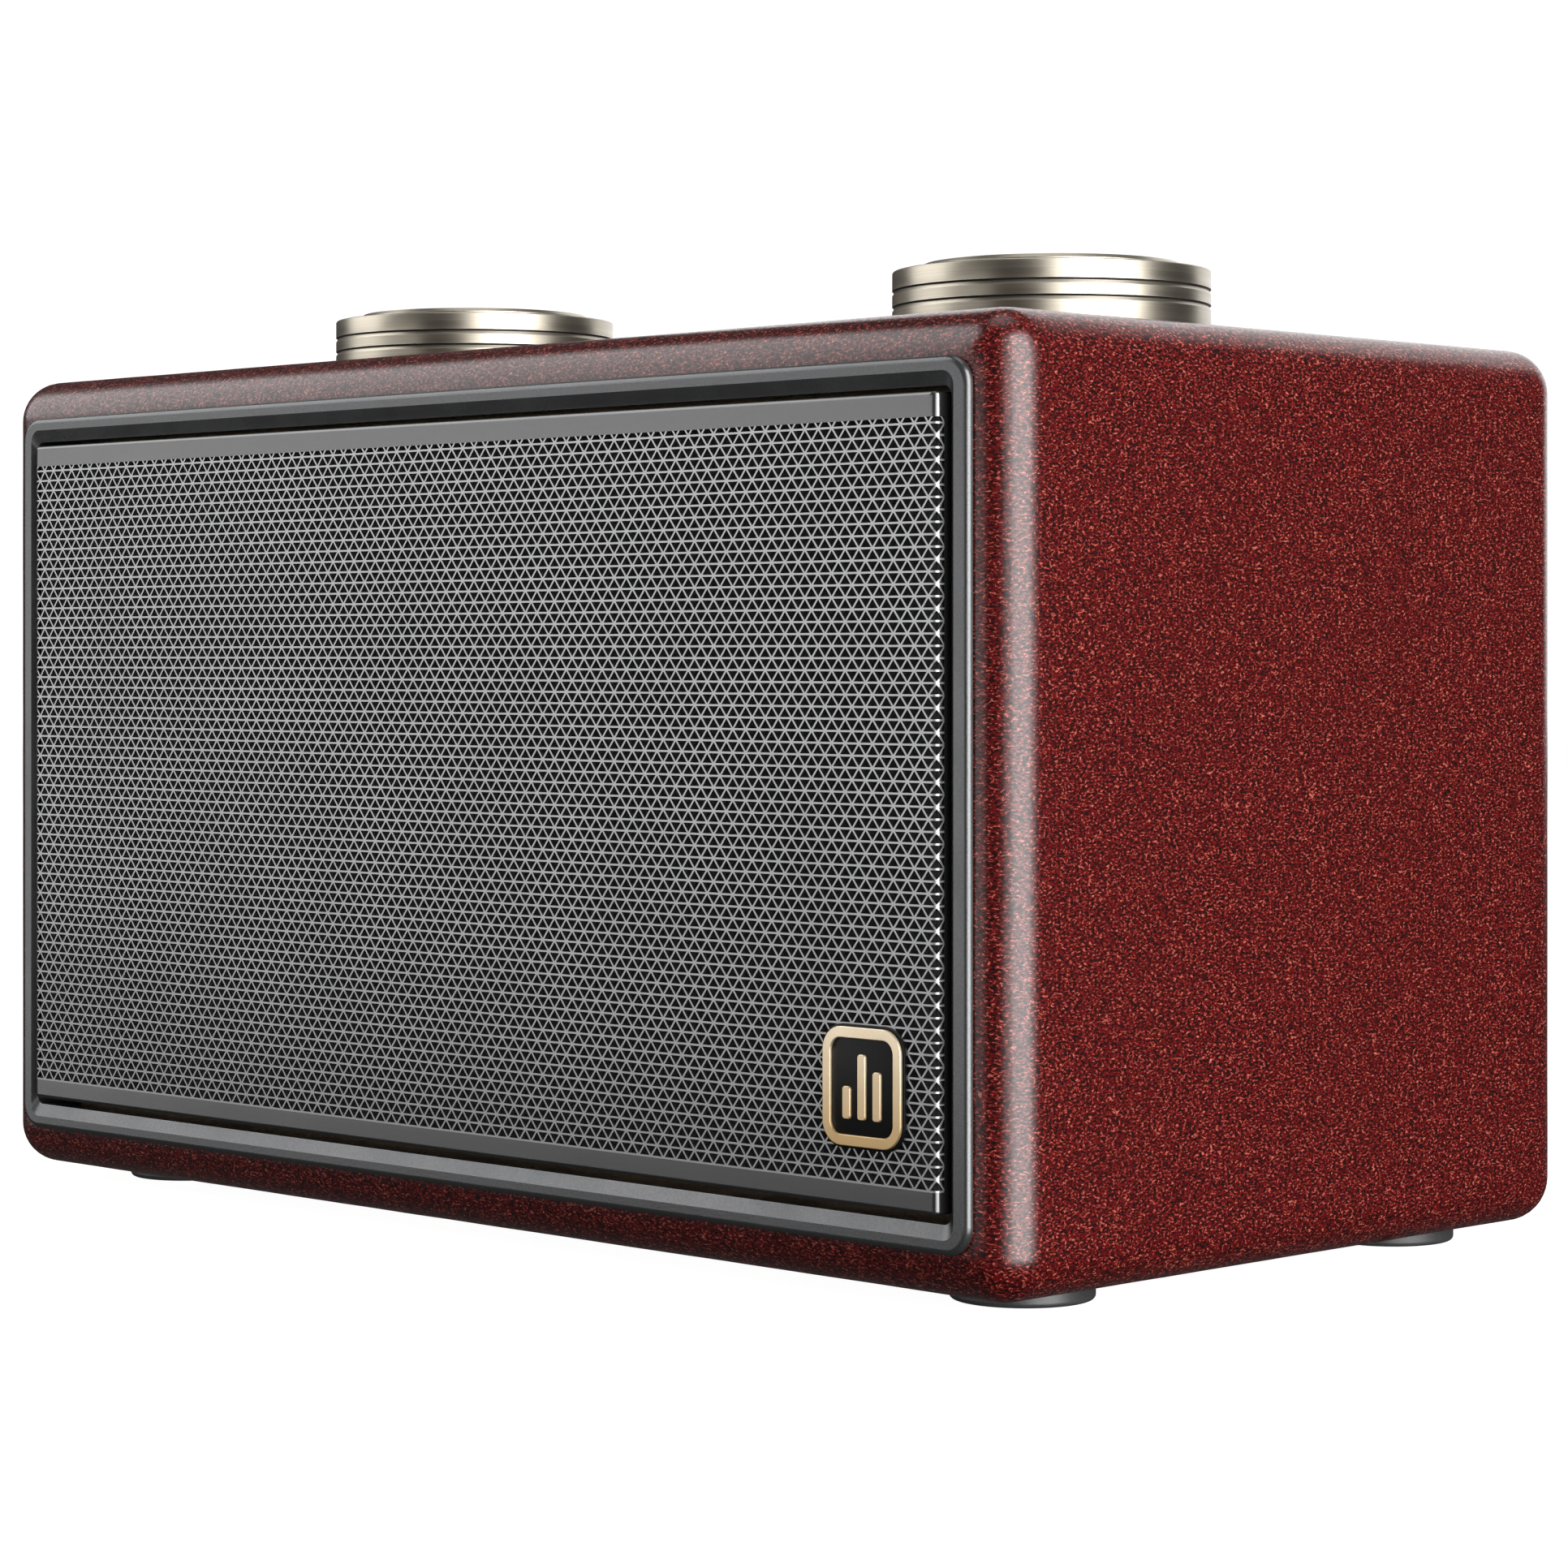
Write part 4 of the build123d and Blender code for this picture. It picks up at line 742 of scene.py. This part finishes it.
def badge_ornament(finish):
    """Raised border round three plain bars, like a level meter."""
    plate_low, plate_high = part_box("badge_plate")
    centre = (plate_low + plate_high) / 2
    low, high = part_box("badge_emblem")
    width, height, line = high.x - low.x, high.z - low.z, 1.7 * MM
    corner, bar_corner, ease = 3.8 * MM, 0.5 * MM, 0.12 * MM
    bar_heights, bar_pitch, bar_foot = (5.0 * MM, 10.0 * MM, 7.5 * MM), 3.2 * MM, -5.0 * MM
    inner_width, inner_height, inner_corner = width - 2 * line, height - 2 * line, corner - line
    bm = bmesh.new()
    rings = [(outline_points(inner_width, inner_height, inner_corner), high.y),
             (outline_points(width, height, corner), high.y),
             (outline_points(width, height, corner), low.y + ease),
             (outline_points(width - 2 * ease, height - 2 * ease, corner - ease), low.y),
             (outline_points(inner_width + 2 * ease, inner_height + 2 * ease, inner_corner + ease), low.y),
             (outline_points(inner_width, inner_height, inner_corner), low.y + ease)]
    stacked_rings(bm, rings + rings[:1], centre)
    bmesh.ops.remove_doubles(bm, verts=bm.verts, dist=CUT_LEEWAY)
    for step, bar_height in enumerate(bar_heights):
        closed_plate(bm, [
            (outline_points(line, bar_height, bar_corner), high.y),
            (outline_points(line, bar_height, bar_corner), low.y + ease),
            (outline_points(line - 2 * ease, bar_height - 2 * ease, bar_corner - ease), low.y)],
            centre + Vector(((step - 1) * bar_pitch, 0, bar_foot + bar_height / 2)))
    new_piece("badge_ornament", bm, [finish], "badge_emblem")


# ---- knobs --------------------------------------------------------------------------------------

def turned_knob(cad_node, finish, groove_shade_finish):
    """Turned metal knob: two V grooves round its side with painted shade on their inner faces, eased rim,
    raised disc with a bevelled edge.
    """
    low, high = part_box(cad_node)
    centre = (low + high) / 2
    radius, hub, roof, foot_ease = high.x - centre.x, 10.0 * MM, 2.0 * MM, 0.2 * MM
    disc_raise, disc_radius, disc_bevel, disc_fillet = 1.2 * MM, 22.3 * MM, 0.6 * MM, 0.1 * MM
    rim_top = high.z - disc_raise
    ease, groove_depth, groove_height, undercut = 0.35 * MM, 0.4 * MM, 0.9 * MM, 0.15 * MM
    groove_falls = (5.9 * MM, 3.2 * MM)
    outline = [(0, rim_top - roof), (hub, rim_top - roof), (hub, low.z), (radius - foot_ease, low.z),
               (radius, low.z + foot_ease)]
    shade_rings = []
    for fall in groove_falls:
        top = rim_top - fall
        foot = Vector((radius, top - groove_height))
        root = Vector((radius - groove_depth, top - undercut))
        outline += [tuple(foot), tuple(foot.lerp(root, 0.75)), tuple(root), (radius, top)]
        # These two faces of each groove take the painted groove shade.
        shade_rings += [len(outline) - 3, len(outline) - 2]
    outline += [(radius, rim_top - ease)]
    outline += [(radius - ease * (1 - cos(angle)), rim_top - ease + ease * sin(angle))
                for angle in (radians(30), radians(60))]
    outline += [(radius - ease, rim_top), (disc_radius + disc_fillet, rim_top),
                (disc_radius, rim_top + disc_fillet), (disc_radius, high.z - disc_bevel),
                (disc_radius - disc_bevel, high.z), (0, high.z)]
    new_piece(cad_node + "_turned", turned_mesh(outline, centre, shade_rings), [finish, groove_shade_finish],
              cad_node, body=cad_node, crease=radians(28))


# ---- camera, light and floor ----------------------------------------------------------------------

def camera():
    """Long lens, level, from the right of the front, with its frame shifted down."""
    lens = bpy.data.cameras.new("camera")
    lens.sensor_width, lens.lens, lens.shift_y = 36.0, 94.384, -0.08255
    lens.clip_start, lens.clip_end = 0.01, 50.0
    made = bpy.data.objects.new("camera", lens)
    made.location = (0.538293, -0.523372, 0.10059)
    made.rotation_euler = (pi / 2, 0, 0.7894)
    SCENE.collection.objects.link(made)
    SCENE.camera = made


def soft_light(name, round_to, height, distance, width, tall, radiance, aim=0.08):
    """Area light round the box: 0 is straight in front and 90 to its right, in degrees."""
    lamp = bpy.data.lights.new(name, "AREA")
    lamp.shape, lamp.size, lamp.size_y = "RECTANGLE", width, tall
    lamp.energy = radiance * pi * width * tall
    made = bpy.data.objects.new(name, lamp)
    turn = radians(round_to)
    place = Vector((sin(turn) * distance, -cos(turn) * distance, height))
    made.location = place
    towards = Vector((0, 0, aim)) - place
    made.rotation_euler = towards.to_track_quat("-Z", "Y").to_euler()
    made.visible_camera = False
    SCENE.collection.objects.link(made)


def studio():
    """White room with soft lights: degrees round, height, distance, width, tall, radiance."""
    soft_light("right_softbox", 78, 0.55, 1.25, 0.95, 1.8, 6.2, aim=0.55)
    soft_light("right_spill", 77, 0.55, 1.2, 1.65, 1.8, 3.0, aim=0.55)
    soft_light("left_softbox", -58, 0.8, 1.2, 1.05, 1.1, 3.1)
    soft_light("low_left_panel", -34, 0.06, 1.2, 1.65, 0.36, 1.85, aim=0.06)
    soft_light("back_softbox", 198, 0.7, 1.5, 1.9, 1.4, 1.5)
    soft_light("top_softbox", 0, 1.6, 0.1, 0.9, 0.9, 1.5)
    light_on_object, light_in_view = 0.06, 1.1
    world = bpy.data.worlds.new("white_studio")
    world.use_nodes = True
    SCENE.world = world
    tree = world.node_tree
    tree.nodes.clear()
    seen = add(tree, "ShaderNodeLightPath").outputs["Is Camera Ray"]
    back = add(tree, "ShaderNodeBackground", {
        "Color": (1, 1, 1, 1), "Strength": spread(tree, seen, light_on_object, light_in_view)})
    end = add(tree, "ShaderNodeOutputWorld")
    join(tree, end.inputs["Surface"], back.outputs["Background"])


def floor():
    """Wide pale disc that glows to the camera only, so that the ground merges with the room."""
    bm = bmesh.new()
    bmesh.ops.create_circle(bm, cap_ends=True, radius=4.0, segments=96)
    mesh = bpy.data.meshes.new("floor")
    bm.to_mesh(mesh)
    bm.free()
    made, tree, shader = new_finish("pale_floor", Roughness=0.9, Specular_IOR_Level=0.0,
                                    Emission_Color=(1, 1, 1, 1))
    shader.inputs["Base Color"].default_value = (0.3, 0.3, 0.3, 1)
    join(tree, shader.inputs["Emission Strength"],
         maths(tree, "MULTIPLY", add(tree, "ShaderNodeLightPath").outputs["Is Camera Ray"], 0.97))
    mesh.materials.append(made)
    piece = bpy.data.objects.new("floor", mesh)
    SCENE.collection.objects.link(piece)
    piece.visible_diffuse = False
    piece.visible_glossy = False
    piece.visible_shadow = False


# ---- everything put together ----------------------------------------------------------------------

def dress(names, finish):
    """Gives CAD nodes a finish."""
    for name in names:
        mesh = NODES[name].data
        mesh.materials.clear()
        mesh.materials.append(finish)


def both(name):
    return ["left_" + name, "right_" + name]


def front_and_cover():
    """The pieces modelled here: leather, grille, cloth and badge."""
    plate_low, plate_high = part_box("grille_panel")
    emblem_low, emblem_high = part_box("badge_emblem")
    leather_cover(leather_finish())
    pierced_grille(
        grille_finish("pierced_satin_grey", (0.33, 0.33, 0.335), 0.28, 0.6, plate_low.z, plate_high.z),
        grille_finish("band_satin_grey", (0.125, 0.125, 0.127), 0.22, 0.9, plate_low.z, plate_high.z),
        # Near-black finish for the hole walls: painted shade inside the holes.
        painted_finish("hole_wall_painted_shade", (0.004, 0.004, 0.004), 0.7, wear=0.0, specular=0.1))
    acoustic_cloth(woven_finish("black_acoustic_cloth", (0.004, 0.004, 0.004), 1600.0))
    badge_back_plate(painted_finish("badge_black", (0.002, 0.002, 0.002), 0.4, wear=0.05, specular=0.1))
    badge_ornament(gold_finish(emblem_low.z, emblem_high.z))


def knobs():
    # Near-black finish on the grooves' inner faces: painted shade in the grooves.
    groove_painted_shade = painted_finish("groove_painted_shade", (0.025, 0.022, 0.018), 0.45, metallic=0.6)
    for name in ("volume_knob", "tuning_knob"):
        low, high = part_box(name)
        nickel = turned_finish("satin_nickel_" + name, (0.40, 0.362, 0.297), 0.36,
                               tuple((low + high) / 2), anisotropic=0.5)
        turned_knob(name, nickel, groove_painted_shade)


def dress_case():
    """Frame, box, rear panel and feet."""
    dress(["front_bezel"], painted_finish("satin_grey_frame", (0.084, 0.085, 0.087), 0.27, metallic=0.8))
    dress(["cabinet_shell", "front_baffle"], fibreboard_finish())
    dress(["grille_frame", "aux_socket", "battery_holder", "volume_knob_hub", "tuning_knob_hub",
           "tuning_plunger", "switch_slider"],
          painted_finish("moulded_black", (0.02, 0.02, 0.021), 0.5))
    dress(["rear_panel", "bass_port"],
          painted_finish("textured_black", (0.036, 0.036, 0.038), 0.48, grain=1500.0, depth=0.00012))
    dress([f"{end}_{side}_foot" for end in ("front", "rear") for side in ("left", "right")],
          painted_finish("foot_rubber", (0.03, 0.03, 0.031), 0.42, grain=1800.0, depth=0.00005,
                         wear=0.1))


def dress_metalwork():
    """Plates, screws, brackets, shafts and the metal cans of bought parts."""
    dress(["jack_plate"],
          painted_finish("dark_anodised", (0.16, 0.16, 0.168), 0.34, metallic=0.9, grain=3500.0))
    dress(["rear_panel_screws", "jack_plate_screws", "driver_screws", "foot_screws", "board_screws",
           "bracket_screws", "volume_bracket", "tuning_bracket", "bushing_nuts"],
          turned_finish("plated_steel", (0.5, 0.5, 0.51), 0.3))
    dress(["charge_socket", "switch_housing", "volume_shaft", "tuning_shaft", "radio_module"],
          turned_finish("bright_steel", (0.66, 0.66, 0.67), 0.22))
    dress(["board_standoffs"], turned_finish("turned_brass", (0.72, 0.54, 0.27), 0.25))
    dress(["amplifier_heatsink"], turned_finish("extruded_aluminium", (0.58, 0.58, 0.6), 0.35))
    dress(["antenna_foil"], turned_finish("copper_foil", (0.75, 0.38, 0.2), 0.3))


def dress_electrics():
    """Boards, cells, leads, controls and the lamp."""
    dress(["charge_lamp"], lamp_finish())
    dress(["jack_board", "main_board"], board_finish())
    dress(["battery_cells"], painted_finish("blue_cell_wrap", (0.04, 0.12, 0.34), 0.25, grain=1200.0))
    dress(["volume_potentiometer", "tuning_encoder"],
          painted_finish("brown_control_case", (0.10, 0.09, 0.08), 0.5))
    dress(["wiring_harness"], painted_finish("lead_cover", (0.25, 0.02, 0.02), 0.5, grain=1200.0))


def dress_speakers():
    dress(both("driver_basket"), painted_finish("pressed_basket_black", (0.03, 0.03, 0.03), 0.45))
    dress(both("driver_magnet"), painted_finish("dark_ferrite", (0.07, 0.07, 0.07), 0.6, grain=900.0))
    dress(both("driver_cone"), woven_finish("pressed_paper", (0.03, 0.03, 0.03), 900.0))
    dress(both("driver_spider"), woven_finish("spider_cloth", (0.35, 0.22, 0.08), 1100.0))
    dress(both("driver_surround"), painted_finish("surround_rubber", (0.014, 0.014, 0.014), 0.6,
                                                  grain=2200.0, wear=0.05))
    dress(both("voice_coil"), turned_finish("copper_winding", (0.72, 0.36, 0.18), 0.35))


front_and_cover()
knobs()
dress_case()
dress_metalwork()
dress_electrics()
dress_speakers()
camera()
studio()
floor()
SCENE.view_settings.view_transform = "Standard"
